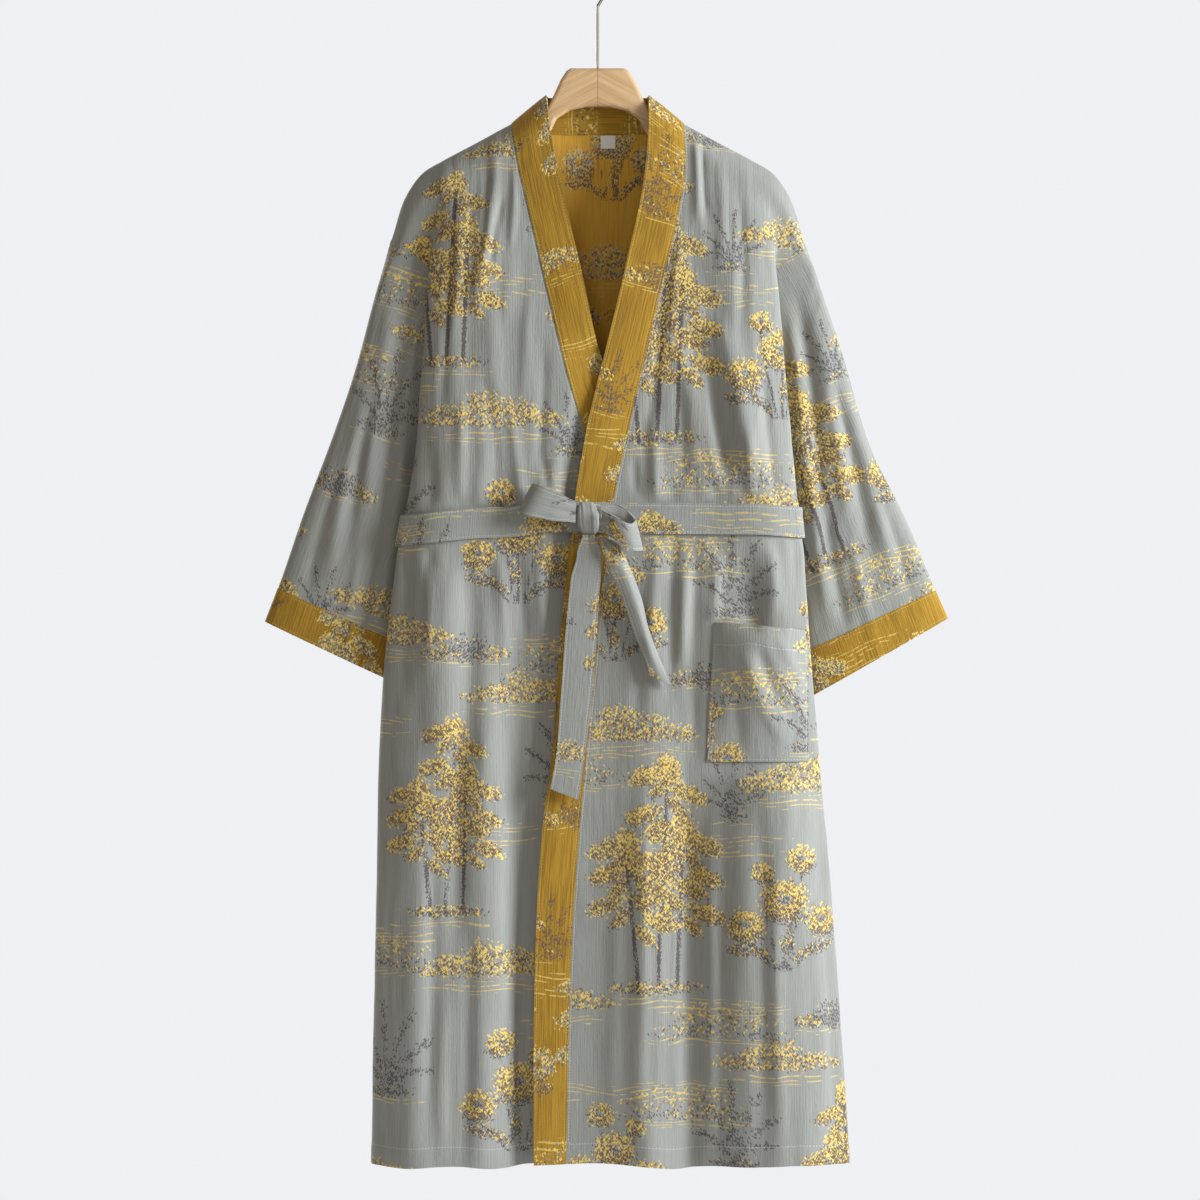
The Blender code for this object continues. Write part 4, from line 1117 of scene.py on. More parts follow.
# The woven figures, in one repeat of the cloth: bamboo, round blossoms, ferns, cloud banks,
# stones, meadows and mist. Pads are ovals of short dashes: middle, radii, turn, gold and dark.
def bambooFigure():
    stems = []
    pads = []
    for x, lean, height, start in ((0, 12, 232, 0), (22, 6, 170, 4), (-20, -14, 150, -4)):
        stems.append(([(x, start), (x + lean * 0.4, height * 0.4), (x + lean, height)], 1.0))
        for step, side in ((0.46, 1), (0.58, -1), (0.70, 1), (0.81, -1), (0.91, 1), (1.0, -1)):
            y = height * step
            stemX = x + lean * step
            reach = 30.0 * (1.3 - 0.55 * step)
            pads.append((stemX + side * reach, y + 5, 24, 11, -side * 20, 0.94, 0.66))
            pads.append((stemX + side * reach * 0.45, y - 9, 17, 8, -side * 44, 0.86, 0.85))
        pads.append((x + lean, height + 9, 16, 20, 8, 1.0, 0.35))
    pads.append((0, 2, 56, 9, 0, 0.45, 0.6))
    return {"pads": pads, "stems": stems, "mist": [(0, -14, 92, 8, 0)]}


def blossomFigure():
    pads = []
    stems = []
    for x, y, size in ((0, 80, 30), (46, 56, 22), (-45, 50, 24), (20, 128, 19), (-26, 112, 15)):
        pads.append((x, y, size, size * 0.86, 0, 0.95, 0.45))
        pads.append((x + 2, y - size * 0.5, size * 0.86, size * 0.42, 0, 0.2, 1.0))
        pads.append((x, y + 1, size * 0.24, size * 0.22, 0, -1.2, 1.0))
        stems.append(([(x * 0.25, 0), (x * 0.7, y * 0.45), (x, y - size * 0.7)], 0.85))
    for x, y, angle in ((24, 20, 35), (-26, 18, -38), (3, 34, 80), (46, 26, 12), (-52, 22, -8)):
        pads.append((x, y, 19, 7, angle, 0.4, 0.95))
    return {"pads": pads, "stems": stems, "mist": []}


def fernFigure():
    stems = []
    pads = []
    for angle, length in ((-52, 58), (-34, 84), (-16, 104), (2, 112), (20, 98), (42, 70)):
        turn = math.radians(angle)
        points = []
        for step in range(5):
            share = step / 4.0
            bend = turn * (0.45 + 0.75 * share)
            points.append((math.sin(bend) * length * share, math.cos(bend) * length * share))
        stems.append((points, 0.75))
        for here, there in zip(points[1:], points[2:]):
            middle = ((here[0] + there[0]) / 2.0, (here[1] + there[1]) / 2.0)
            slope = math.degrees(math.atan2(there[1] - here[1], there[0] - here[0]))
            pads.append((middle[0], middle[1], 15, 6.0, slope, 0.0, 0.72))
    pads.append((0, 4, 34, 9, 0, 0.12, 0.85))
    return {"pads": pads, "stems": stems, "mist": [(0, -8, 60, 6, 0)]}


def cloudFigure():
    pads = [(16, 2, 100, 7, 0, 0.6, 0.4)]
    for puff in (
        (-56, 8, 34, 13), (-20, 18, 34, 19), (20, 26, 32, 22), (58, 12, 38, 14), (94, 5, 26, 8),
    ):
        pads.insert(-1, (*puff, 4, 0.62, 0.36))
    return {"pads": pads, "stems": [], "mist": [(12, -18, 120, 13, 0)]}


def meadowFigure():
    pads = [
        (0, 0, 74, 20, 3, 0.26, 0.10),
        (38, -16, 60, 13, -2, 0.2, 0.3),
        (-42, -18, 44, 10, 4, 0.1, 0.34),
    ]
    return {"pads": pads, "stems": [], "mist": [(0, 10, 110, 16, 0), (20, -30, 96, 9, 0)]}


def mistFigure():
    return {"pads": [], "stems": [], "mist": [(0, 0, 120, 10, 3), (34, -14, 70, 6, 2)]}


def stoneFigure():
    pads = [
        (0, 14, 34, 22, 0, 0.12, 0.86),
        (38, 8, 26, 13, 0, 0.35, 0.7),
        (-38, 6, 22, 10, 0, 0.55, 0.5),
    ]
    return {"pads": pads, "stems": [], "mist": [(0, -8, 76, 7, 0)]}


weavePlan = {
    "repeatWidth": 430.0,
    "repeatHeight": 610.0,
    "stemReach": 8.0,
    "shading": 0.75,
    "figures": [
        # figure, across, up, size, mirrored
        (bambooFigure, 66, 60, 1.0, False),
        (bambooFigure, 286, 350, 0.84, True),
        (blossomFigure, 206, 84, 0.95, False),
        (blossomFigure, 20, 424, 0.84, True),
        (fernFigure, 352, 150, 0.95, False),
        (fernFigure, 152, 476, 0.85, True),
        (fernFigure, 150, 250, 0.62, False),
        (cloudFigure, 226, 282, 0.82, False),
        (cloudFigure, 40, 338, 0.8, True),
        (cloudFigure, 350, 40, 0.85, False),
        (cloudFigure, 190, 585, 0.7, False),
        (meadowFigure, 372, 312, 0.95, False),
        (meadowFigure, 140, 30, 0.9, True),
        (meadowFigure, 86, 548, 0.9, False),
        (mistFigure, 120, 224, 1.0, False),
        (mistFigure, 250, 440, 0.9, True),
        (mistFigure, 400, 560, 0.9, True),
        (stoneFigure, 262, 22, 0.8, False),
        (stoneFigure, 128, 398, 0.8, True),
    ],
}


def ovalPlaces(x, y, cx, cy, rx, ry, angle):
    # the distance from an oval's middle, 1 at its edge, and the height in it from -1 to 1
    turn = math.radians(angle)
    dx = (x - cx) * math.cos(turn) + (y - cy) * math.sin(turn)
    dy = (y - cy) * math.cos(turn) - (x - cx) * math.sin(turn)
    return np.hypot(dx / rx, dy / ry), dy / ry


def paintPlan(uv):
    # density of gold and dark dashes and of mist threads, and closeness to a stem, at each place
    u = uv[:, :, 0] * 1000.0
    v = uv[:, :, 1] * 1000.0
    width = weavePlan["repeatWidth"]
    height = weavePlan["repeatHeight"]
    gold, dark, mist, stem = (np.zeros(u.shape) for _ in range(4))
    for figure, x0, y0, size, mirrored in weavePlan["figures"]:
        shape = figure()
        x = (np.mod(u - x0 + width / 2.0, width) - width / 2.0) / size
        y = (np.mod(v - y0 + height / 2.0, height) - height / 2.0) / size
        if mirrored:
            x = -x
        for *oval, goldShare, darkShare in shape["pads"]:
            away, rise = ovalPlaces(x, y, *oval)
            body = 1.0 - ease(0.55, 1.22, away)
            # each mass is bright above and dark below
            under = 1.25 - weavePlan["shading"] * ease(-0.4, 0.9, rise)
            gold = np.maximum(gold, body * goldShare) + np.minimum(body * goldShare, 0.0)
            dark = np.maximum(dark, body * darkShare * under)
        for oval in shape["mist"]:
            mist = np.maximum(mist, 1.0 - ease(0.55, 1.1, ovalPlaces(x, y, *oval)[0]))
        for points, strength in shape["stems"]:
            for (ax, ay), (bx, by) in zip(points, points[1:]):
                length = (bx - ax) ** 2 + (by - ay) ** 2
                t = np.clip(((x - ax) * (bx - ax) + (y - ay) * (by - ay)) / length, 0.0, 1.0)
                away = np.hypot(x - ax - t * (bx - ax), y - ay - t * (by - ay)) * size
                stem = np.maximum(stem, strength * (1.0 - away / weavePlan["stemReach"]))
    return np.stack([np.clip(gold, 0, 1), dark, mist, np.clip(stem, 0, 1)], axis=2)


# Cloth pieces: mesh, flat places for the weave, stitched edges and a closed thin shell.
def closedRing(grid):
    return np.concatenate([grid, grid[:, :1]], axis=1)


def flatPlaces(grid, offset, first=0, last=None, mirrored=False):
    # the cloth laid flat, in metres: level over its face, and by its length round the turned sides
    steps = np.hypot(np.diff(grid[:, :, 0], axis=1), np.diff(grid[:, :, 1], axis=1))
    across = grid[:, :, 0].copy()
    last = grid.shape[1] - 1 if last is None else last
    sign = 1.0 if across[-1, last] > across[-1, first] else -1.0
    for column in range(last + 1, grid.shape[1]):
        across[:, column] = across[:, column - 1] + sign * steps[:, column - 1]
    for column in range(first - 1, -1, -1):
        across[:, column] = across[:, column + 1] - sign * steps[:, column]
    # over the shoulder the cloth is longer than its drop
    upward = grid[:, :, 2] - 12.0 * (1.0 - np.exp(-np.abs(grid[:, :, 1]) / 10.0))
    turned = -across if mirrored else across
    return np.stack([turned + offset[0], upward + offset[1]], axis=2) * 0.001


def stripPlaces(grid, offset, wraps=False, upward=False):
    # a narrow strip laid flat: its width and its length, in metres
    fromStart, _, fromTop, _ = edgeDistances(closedRing(grid) if wraps else grid)
    across = np.broadcast_to(fromStart.mean(axis=0)[None, :], fromStart.shape)
    lengthwise = np.broadcast_to(fromTop.mean(axis=1)[:, None], fromTop.shape)
    height = lengthwise if upward else -lengthwise
    return np.stack([across + offset[0], height + offset[1]], axis=2) * 0.001


def sleevePlaces(grid, side, offset):
    # the sleeve turned upright and opened at the underarm: its front runs one way from the outer
    # fold and its back the other, so the column at the underarm has two places
    half = grid.shape[1] // 2
    rows = sleeveCut[side]
    reach = rows[-1]["outerX"] - rows[0]["outerX"]
    lean = math.atan2(reach, rows[-1]["outerDown"] - rows[0]["outerDown"])
    ring = closedRing(grid)
    drop = dropOf(ring)
    outward = side * ring[:, :, 0] * math.cos(lean) - drop * math.sin(lean)
    downward = side * ring[:, :, 0] * math.sin(lean) + drop * math.cos(lean)
    steps = np.hypot(np.diff(outward, axis=1), np.diff(ring[:, :, 1], axis=1))
    total = np.concatenate([np.zeros((grid.shape[0], 1)), np.cumsum(steps, axis=1)], axis=1)
    returning = total - total[:, -1:]
    fromFold = np.where(np.arange(ring.shape[1])[None, :] <= half, total, returning)
    across = outward[:, :1] - fromFold
    flat = np.stack([across * side + offset[0], offset[1] - downward], axis=2) * 0.001
    seam = flat.copy()
    seam[:, half, 0] = ((outward[:, 0] - returning[:, half]) * side + offset[0]) * 0.001
    return flat, (seam, half)


def applyModifiers(piece):
    bpy.ops.object.select_all(action="DESELECT")
    bpy.context.view_layer.objects.active = piece
    piece.select_set(True)
    for modifier in list(piece.modifiers):
        bpy.ops.object.modifier_apply(modifier=modifier.name)
    piece.select_set(False)


def addValues(mesh, name, values):
    mesh.attributes.new(name, "FLOAT", "POINT").data.foreach_set("value", np.ravel(values))


def makeSheet(
    name, grid, flat, flip, thick, materials, stitch, wraps=False, seamFlat=None, hems=None,
):
    rows, columns = grid.shape[:2]
    faces = []
    corners = []
    for r in range(rows - 1):
        for c in range(columns if wraps else columns - 1):
            d = (c + 1) % columns
            quad = [(r, c, c), (r + 1, c, c), (r + 1, d, c + 1), (r, d, c + 1)]
            if flip < 0:
                quad.reverse()
            faces.append([row * columns + column for row, column, _ in quad])
            corners += [(row, flatColumn, c) for row, _, flatColumn in quad]
    mesh = bpy.data.meshes.new(name)
    mesh.from_pydata((grid.reshape(-1, 3) * 0.001).tolist(), [], faces)
    piece = bpy.data.objects.new(name, mesh)
    bpy.context.collection.objects.link(piece)
    pickRow, pickColumn, span = np.array(corners).T
    places = flat[pickRow, pickColumn]
    if seamFlat is not None:
        seamPlaces, seamColumn = seamFlat
        places = np.where((span >= seamColumn)[:, None], seamPlaces[pickRow, pickColumn], places)
    mesh.uv_layers.new(name="flat").data.foreach_set("uv", places.ravel())
    plan = paintPlan(flat[:, :columns])
    solid = np.concatenate([plan[:, :, :3], np.ones((rows, columns, 1))], axis=2)
    mesh.attributes.new("weave", "FLOAT_COLOR", "POINT").data.foreach_set("color", solid.ravel())
    addValues(mesh, "stem", plan[:, :, 3])
    addValues(mesh, "stitch", stitch * 0.001)
    for material in materials:
        mesh.materials.append(material)
    wall = piece.modifiers.new("wall", "SOLIDIFY")
    wall.thickness = thick * 0.001
    wall.offset = 0.0
    wall.use_even_offset = True
    wall.material_offset = 1
    wall.material_offset_rim = 0
    if hems is not None:
        # turned hems are two layers thick
        group = piece.vertex_groups.new(name="hem")
        for index, share in enumerate(hems.ravel().tolist()):
            group.add([index], share, "REPLACE")
        wall.vertex_group = "hem"
        wall.thickness_vertex_group = 0.55
    applyModifiers(piece)
    piece.data.shade_smooth()
    piece.data.set_sharp_from_angle(angle=math.radians(60.0))
    return piece


def sheetArea(grid, wraps=False):
    ring = closedRing(grid) if wraps else grid
    across = ring[:-1, 1:] - ring[:-1, :-1]
    downward = ring[1:, :-1] - ring[:-1, :-1]
    return float(np.linalg.norm(np.cross(across, downward), axis=2).sum()) * 1e-6


# Nodes
class Nodes:
    # adds nodes to one tree; most helpers give back the output that the next one takes
    def __init__(self, tree):
        self.tree = tree

    def add(self, kind, **settings):
        node = self.tree.nodes.new("ShaderNode" + kind)
        for name, value in settings.items():
            setattr(node, name, value)
        return node

    def feed(self, node, key, value):
        socket = node.inputs[key]
        if isinstance(value, bpy.types.NodeSocket):
            self.tree.links.new(value, socket)
        else:
            socket.default_value = (*value, 1.0) if socket.type == "RGBA" else value

    def feedAll(self, node, values):
        for key, value in values.items():
            self.feed(node, key, value)

    def math(self, operation, *values):
        node = self.add("Math", operation=operation)
        self.feedAll(node, dict(enumerate(values)))
        return node.outputs[0]

    def plus(self, first, second):
        return self.math("ADD", first, second)

    def minus(self, first, second):
        return self.math("SUBTRACT", first, second)

    def times(self, first, second):
        return self.math("MULTIPLY", first, second)

    def fromCentre(self, value):
        # the distance from the middle of each whole step
        return self.math("ABSOLUTE", self.minus(self.math("FRACT", value), 0.5))

    def ramp(self, value, low, high, start=0.0, end=1.0):
        node = self.add("MapRange", interpolation_type="SMOOTHSTEP")
        ends = {"From Min": low, "From Max": high, "To Min": start, "To Max": end}
        self.feedAll(node, {"Value": value, **ends})
        return node.outputs[0]

    def cells(self, vector, size, turn=0.0):
        # turns the pattern, then divides it by its cell's size in metres
        node = self.add("Mapping", vector_type="TEXTURE")
        turned = (0.0, 0.0, math.radians(turn))
        self.feedAll(node, {"Vector": vector, "Rotation": turned, "Scale": size})
        return node.outputs[0]

    def noise(self, vector, size, detail=1.0, rough=0.5, turn=0.0, kind="3D"):
        node = self.add("TexNoise", noise_dimensions=kind)
        places = self.cells(vector, size, turn)
        self.feedAll(node, {"Scale": 1.0, "Detail": detail, "Roughness": rough, "Vector": places})
        return node.outputs["Fac"]

    def blend(self, share, first, second):
        node = self.add("Mix", data_type="RGBA")
        self.feedAll(node, {0: share, 6: first, 7: second})
        return node.outputs[2]

    def split(self, vector):
        node = self.add("SeparateXYZ")
        self.feed(node, 0, vector)
        return node.outputs

    def objectPlaces(self):
        return self.add("TexCoord").outputs["Object"]

    def bump(self, shader, height, strength, distance):
        node = self.add("Bump")
        self.feedAll(node, {"Strength": strength, "Distance": distance, "Height": height})
        self.feed(shader, "Normal", node.outputs[0])


def newGroup(name, inputs, outputs):
    group = bpy.data.node_groups.new(name, "ShaderNodeTree")
    kinds = {"vector": "NodeSocketVector", "color": "NodeSocketColor", "value": "NodeSocketFloat"}
    for way, sockets in (("INPUT", inputs), ("OUTPUT", outputs)):
        for kind, titles in sockets.items():
            for title in titles:
                group.interface.new_socket(name=title, in_out=way, socket_type=kinds[kind])
    return group, group.nodes.new("NodeGroupInput").outputs, group.nodes.new("NodeGroupOutput")


def newMaterial(name, constants):
    material = bpy.data.materials.new(name)
    material.use_nodes = True
    nodes = Nodes(material.node_tree)
    shader = material.node_tree.nodes["Principled BSDF"]
    nodes.feedAll(shader, constants)
    return material, nodes, shader


yarns = {
    # one cell of each effect in metres, across and along the cloth
    "slub": (0.0016, 0.055, 1.0),
    "shade": (0.035, 0.16, 1.0),
    "crepe": (0.0021, 0.0085, 1.0),
    "wobble": (0.05, 0.02, 1.0),
    "broken": (0.013, 0.0042, 1.0),
    "fray": (0.0014, 0.0026, 1.0),
    "darkDash": (0.0016, 0.0038, 1.0),
    "goldDash": (0.0019, 0.0043, 1.0),
    "crossDash": (0.0018, 0.0040, 1.0),
    "threadPitch": 0.0046,
    "stitchPitch": 0.0034,
}


def dashes(nodes, vector, kind, turn, density):
    # short strokes of yarn: each cell of the pattern shows one, or none where the figure is thin
    cells = nodes.add("TexVoronoi", voronoi_dimensions="2D")
    places = nodes.cells(vector, yarns[kind], turn)
    nodes.feedAll(cells, {"Scale": 1.0, "Randomness": 0.9, "Vector": places})
    chance = nodes.add("SeparateColor")
    nodes.feed(chance, 0, cells.outputs["Color"])
    shown = nodes.ramp(nodes.minus(density, chance.outputs[0]), 0.0, 0.08)
    stroke = nodes.ramp(cells.outputs["Distance"], 0.56, 0.34)
    return nodes.times(shown, stroke), chance.outputs[1]


def makeJacquard():
    # the weave's figures and ground, from the flat places and the painted densities
    group, given, made = newGroup("jacquard", {
        "vector": ["Flat"],
        "value": ["Gold Density", "Dark Density", "Mist", "Stem", "Stitch", "Speck Share", "Slub"],
        "color": ["Ground", "Ground Shade", "Gold", "Dark", "Speck", "Thread"],
    }, {"color": ["Color"], "value": ["Height"]})
    nodes = Nodes(group)
    plus, minus, times, ramp, blend = nodes.plus, nodes.minus, nodes.times, nodes.ramp, nodes.blend
    flat, goldDensity, mist = given["Flat"], given["Gold Density"], given["Mist"]

    def noiseOf(kind, detail=1.0, rough=0.5, turn=0.0):
        return nodes.noise(flat, yarns[kind], detail, rough, turn, "2D")

    slub = noiseOf("slub", 2.0, 0.6)
    shade = ramp(plus(times(slub, 0.75), times(noiseOf("shade"), 0.25)), 0.40, 0.66)
    color = blend(times(shade, given["Slub"]), given["Ground"], given["Ground Shade"])

    # broken gold threads lie level over the mist
    parts = nodes.split(flat)
    level = plus(times(parts[1], 1.0 / yarns["threadPitch"]), times(noiseOf("wobble", 0.0), 2.4))
    line = ramp(nodes.fromCentre(level), 0.19, 0.09)
    broken = plus(noiseOf("broken", 2.0, 0.7), times(mist, 0.42))
    thread = times(times(line, ramp(broken, 0.80, 0.90)), ramp(mist, 0.02, 0.2))
    color = blend(times(thread, 0.62), color, given["Gold"])

    stem = plus(given["Stem"], times(minus(noiseOf("fray", turn=20.0), 0.5), 0.55))
    darkDash, _ = dashes(nodes, flat, "darkDash", 31.0, given["Dark Density"])
    goldDash, pick = dashes(nodes, flat, "goldDash", -37.0, goldDensity)
    crossDash, crossPick = dashes(nodes, flat, "crossDash", 52.0, times(goldDensity, 0.7))
    # leaf masses are backed with brown yarn, so that the cloth hardly shows between the strokes
    color = blend(ramp(goldDensity, 0.45, 0.95, 0.0, 0.42), color, given["Speck"])
    color = blend(times(ramp(stem, 0.66, 0.78), 0.85), color, given["Dark"])
    crossYarn = blend(ramp(crossPick, 0.45, 0.55), given["Gold"], given["Speck"])
    color = blend(times(crossDash, 0.85), color, crossYarn)
    speckled = nodes.math("LESS_THAN", pick, given["Speck Share"])
    color = blend(goldDash, color, blend(speckled, given["Gold"], given["Speck"]))
    color = blend(times(darkDash, 0.82), color, given["Dark"])

    # running stitches beside the sewn edges
    near = ramp(nodes.math("ABSOLUTE", given["Stitch"]), 0.0009, 0.0003)
    pace = times(plus(parts[0], parts[1]), 1.0 / yarns["stitchPitch"])
    sewn = times(near, ramp(nodes.fromCentre(pace), 0.40, 0.28))
    # painted shade: the ground darkens along the sunken line that the stitches pull in
    color = blend(times(near, 0.3), color, given["Ground Shade"])
    color = blend(times(sewn, 0.7), color, given["Thread"])

    height = plus(times(noiseOf("crepe", 2.0, 0.6), 0.55), times(slub, 0.6))
    height = plus(height, times(nodes.math("MAXIMUM", goldDash, crossDash), 0.5))
    height = plus(minus(height, times(near, 1.1)), times(sewn, 0.9))
    nodes.feedAll(made, {"Color": color, "Height": height})
    return group


jacquard = makeJacquard()

clothLooks = {
    "robeOutside": {
        "Ground": (0.292, 0.292, 0.272), "Ground Shade": (0.210, 0.208, 0.186),
        "Gold": (0.74, 0.53, 0.14), "Dark": (0.075, 0.055, 0.062), "Speck": (0.30, 0.185, 0.055),
        "Thread": (0.46, 0.47, 0.44), "Speck Share": 0.2, "Slub": 0.38,
    },
    "robeInside": {
        "Ground": (0.660, 0.370, 0.050), "Ground Shade": (0.400, 0.215, 0.028),
        "Gold": (0.70, 0.52, 0.17), "Dark": (0.085, 0.065, 0.070), "Speck": (0.30, 0.30, 0.27),
        "Thread": (0.46, 0.30, 0.08), "Speck Share": 0.28, "Slub": 0.45,
    },
    "bandCloth": {
        "Ground": (0.405, 0.226, 0.022), "Ground Shade": (0.215, 0.112, 0.012),
        "Gold": (0.76, 0.56, 0.16), "Dark": (0.095, 0.070, 0.070), "Speck": (0.33, 0.33, 0.28),
        "Thread": (0.52, 0.34, 0.07), "Speck Share": 0.22, "Slub": 0.72,
    },
}


def makeCloth(name):
    material, nodes, shader = newMaterial(name, {
        "Roughness": 0.86, "Sheen Weight": 0.22, "Sheen Roughness": 0.45,
        "Specular IOR Level": 0.25,
    })
    weave, stem, stitch = (
        nodes.add("Attribute", attribute_name=title) for title in ("weave", "stem", "stitch")
    )
    densities = nodes.add("SeparateColor")
    nodes.feed(densities, 0, weave.outputs["Color"])
    cloth = nodes.add("Group", node_tree=jacquard)
    nodes.feedAll(cloth, {
        "Flat": nodes.add("UVMap", uv_map="flat").outputs[0],
        "Gold Density": densities.outputs[0],
        "Dark Density": densities.outputs[1],
        "Mist": densities.outputs[2],
        "Stem": stem.outputs["Fac"],
        "Stitch": stitch.outputs["Fac"],
    })
    nodes.feedAll(cloth, clothLooks[name])
    nodes.feed(shader, "Base Color", cloth.outputs["Color"])
    nodes.bump(shader, cloth.outputs["Height"], 0.55, 0.0009)
    return material


def makeLabelCloth():
    look = {"light": (0.86, 0.86, 0.84), "dim": (0.70, 0.70, 0.68), "ribs": 260.0}
    material, nodes, shader = newMaterial("labelCloth", {"Roughness": 0.7, "Sheen Weight": 0.1})
    ribs = nodes.add("TexWave", bands_direction="Z")
    nodes.feedAll(ribs, {"Scale": look["ribs"], "Distortion": 0.6, "Vector": nodes.objectPlaces()})
    shade = nodes.times(ribs.outputs["Fac"], 0.35)
    nodes.feed(shader, "Base Color", nodes.blend(shade, look["light"], look["dim"]))
    nodes.bump(shader, ribs.outputs["Fac"], 0.3, 0.0002)
    return material


def makeWood():
    look = {
        "light": (0.66, 0.44, 0.235), "dark": (0.47, 0.275, 0.125), "joint": (0.36, 0.20, 0.09),
        "fine": (0.060, 0.004, 0.0016), "broad": (0.12, 0.02, 0.011),
        "pores": (0.010, 0.0016, 0.0006), "slant": 0.52,
    }
    coat = {"Coat Weight": 0.25, "Coat Roughness": 0.3}
    material, nodes, shader = newMaterial("hangerWood", coat)
    plus, times, ramp, blend = nodes.plus, nodes.times, nodes.ramp, nodes.blend
    parts = nodes.split(nodes.objectPlaces())
    # the grain follows each arm: it slopes down to both sides of the joint in the middle
    fromJoint = nodes.math("ABSOLUTE", parts[0])
    raisedPart = plus(parts[2], times(fromJoint, look["slant"]))
    grain = nodes.add("CombineXYZ")
    nodes.feedAll(grain, {0: parts[0], 1: parts[1], 2: raisedPart})
    fine = nodes.noise(grain.outputs[0], look["fine"], 3.0, 0.6)
    broad = nodes.noise(grain.outputs[0], look["broad"])
    pores = nodes.noise(grain.outputs[0], look["pores"])
    tone = plus(times(fine, 0.5), times(broad, 0.5))
    joint = ramp(fromJoint, 0.0009, 0.0003)
    color = blend(ramp(tone, 0.36, 0.66), look["light"], look["dark"])
    color = blend(times(ramp(pores, 0.62, 0.74), 0.35), color, look["dark"])
    color = blend(times(joint, 0.75), color, look["joint"])
    nodes.feedAll(shader, {"Base Color": color, "Roughness": ramp(fine, 0.3, 0.7, 0.36, 0.5)})
    nodes.bump(shader, nodes.minus(times(fine, 0.4), joint), 0.25, 0.0004)
    return material


def makeWire():
    look = {
        "dark": (0.17, 0.145, 0.115), "light": (0.27, 0.235, 0.19),
        "scuffs": (0.0012, 0.0012, 0.02),
    }
    material, nodes, shader = newMaterial("hookWire", {"Metallic": 1.0})
    scuffs = nodes.noise(nodes.objectPlaces(), look["scuffs"], 2.0, 0.6)
    nodes.feed(shader, "Base Color", nodes.blend(scuffs, look["dark"], look["light"]))
    nodes.feed(shader, "Roughness", nodes.ramp(scuffs, 0.3, 0.7, 0.36, 0.5))
    return material


robeOutside, robeInside, bandCloth = (makeCloth(name) for name in clothLooks)
labelCloth = makeLabelCloth()
hangerWood = makeWood()
hookWire = makeWire()
print("materials made")


def declare(piece, slot, nodes):
    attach(piece, "root")
    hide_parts(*nodes)


def edgeStitch(grid, insets):
    # signed distance from the line of stitches beside the named edges
    distances = dict(zip(("start", "end", "top", "bottom"), edgeDistances(grid)))
    nearest = np.full(grid.shape[:2], 50.0)
    for edge, inset in insets.items():
        nearest = np.minimum(nearest, distances[edge] - inset)
    return nearest


def hemShares(grid):
    return 1.0 - ease(robe["hemDepth"] - 1.5, robe["hemDepth"] + 1.5, edgeDistances(grid)[3])


# Each kind's outer and inner cloth, thickness and slot.
kinds = {
    "panel": ([robeOutside, robeInside], robe["clothThick"] * 1.5, "robe_cloth"),
    "single": ([robeOutside, robeInside], robe["clothThick"], "robe_cloth"),
    "band": ([bandCloth, bandCloth], robe["bandThick"], "band_cloth"),
    "belt": ([robeOutside, robeOutside], robe["beltThick"], "robe_cloth"),
    "label": ([labelCloth, labelCloth], labelCut["thick"], "label_cloth"),
}


def sew(name, node, kind, grid, flat, flip, flatSize, stitches, measured=False, restsOn=(), **more):
    # flatSize is the width and length of the piece's rectangle
    materials, thick, slot = kinds[kind]
    piece = makeSheet(name, grid, flat, flip, thick, materials, edgeStitch(grid, stitches), **more)
    area = round(sheetArea(grid, more.get("wraps", False)), 3)
    print(name, "sewn, square metres:", area)
    declare(piece, slot, [node])


hemLine = robe["hemDepth"]
fronts = {side: frontGrid(side) for side in (left, right)}
back = backGrid()
print("panels shaped")

for side, word, offset in ((left, "Left", (0.0, 0.0)), (right, "Right", (118.0, 205.0))):
    grid = fronts[side]
    flat = flatPlaces(grid, offset, *cut["frontFace"], side == right)
    sew(
        "front" + word, "front_" + word.lower(), "panel", grid, flat,
        side, (0.38, 1.20), {"start": 2.5, "bottom": hemLine}, True, hems=hemShares(grid),
    )
sew(
    "backPanel", "back", "panel", back, flatPlaces(back, (37.0, 90.0), *cut["backFace"], True),
    -1, (0.62, 1.20), {"bottom": hemLine}, True, hems=hemShares(back),
)

sleeveStops = [step / 20.0 for step in range(101)]
cuffStops = [5.0 + step / 12.0 for step in range(13)]
for side, word, across, upward in ((left, "Left", 30.0, 60.0), (right, "Right", 250.0, 330.0)):
    grid = sleeveGrid(side, sleeveStops)
    flat, seamFlat = sleevePlaces(grid, side, (across, upward))
    sew(
        "sleeve" + word, "sleeve_" + word.lower(), "single", grid, flat,
        -side, (0.56, 0.46), {}, True, wraps=True, seamFlat=seamFlat,
    )
    grid = sleeveGrid(side, cuffStops)
    flat, seamFlat = sleevePlaces(grid, side, (across + 90.0, upward - 340.0))
    sew(
        "cuff" + word, "cuff_" + word.lower(), "band", grid, flat,
        -side, (0.34, 0.05), {"top": 2.5, "bottom": 3.0}, wraps=True, seamFlat=seamFlat,
    )

for side, word, offset in ((left, "Left", (126.0, 20.0)), (right, "Right", (392.0, 250.0))):
    grid = collarGrid(side, fronts[side], back)
    flat = stripPlaces(grid, offset, upward=True)
    sew(
        "collar" + word, "collar_" + word.lower(), "band", grid, flat,
        side, (0.048, 1.36), {"start": 2.5, "end": 3.0, "top": 12.0},
    )

grid = pocketGrid()
sew(
    "patchPocket", "pocket", "single", grid, flatPlaces(grid, (-86.0, 150.0)),
    1, (0.125, 0.16), {"start": 2.5, "end": 2.5, "bottom": 2.5, "top": 24.0},
    restsOn=["front_left"],
)

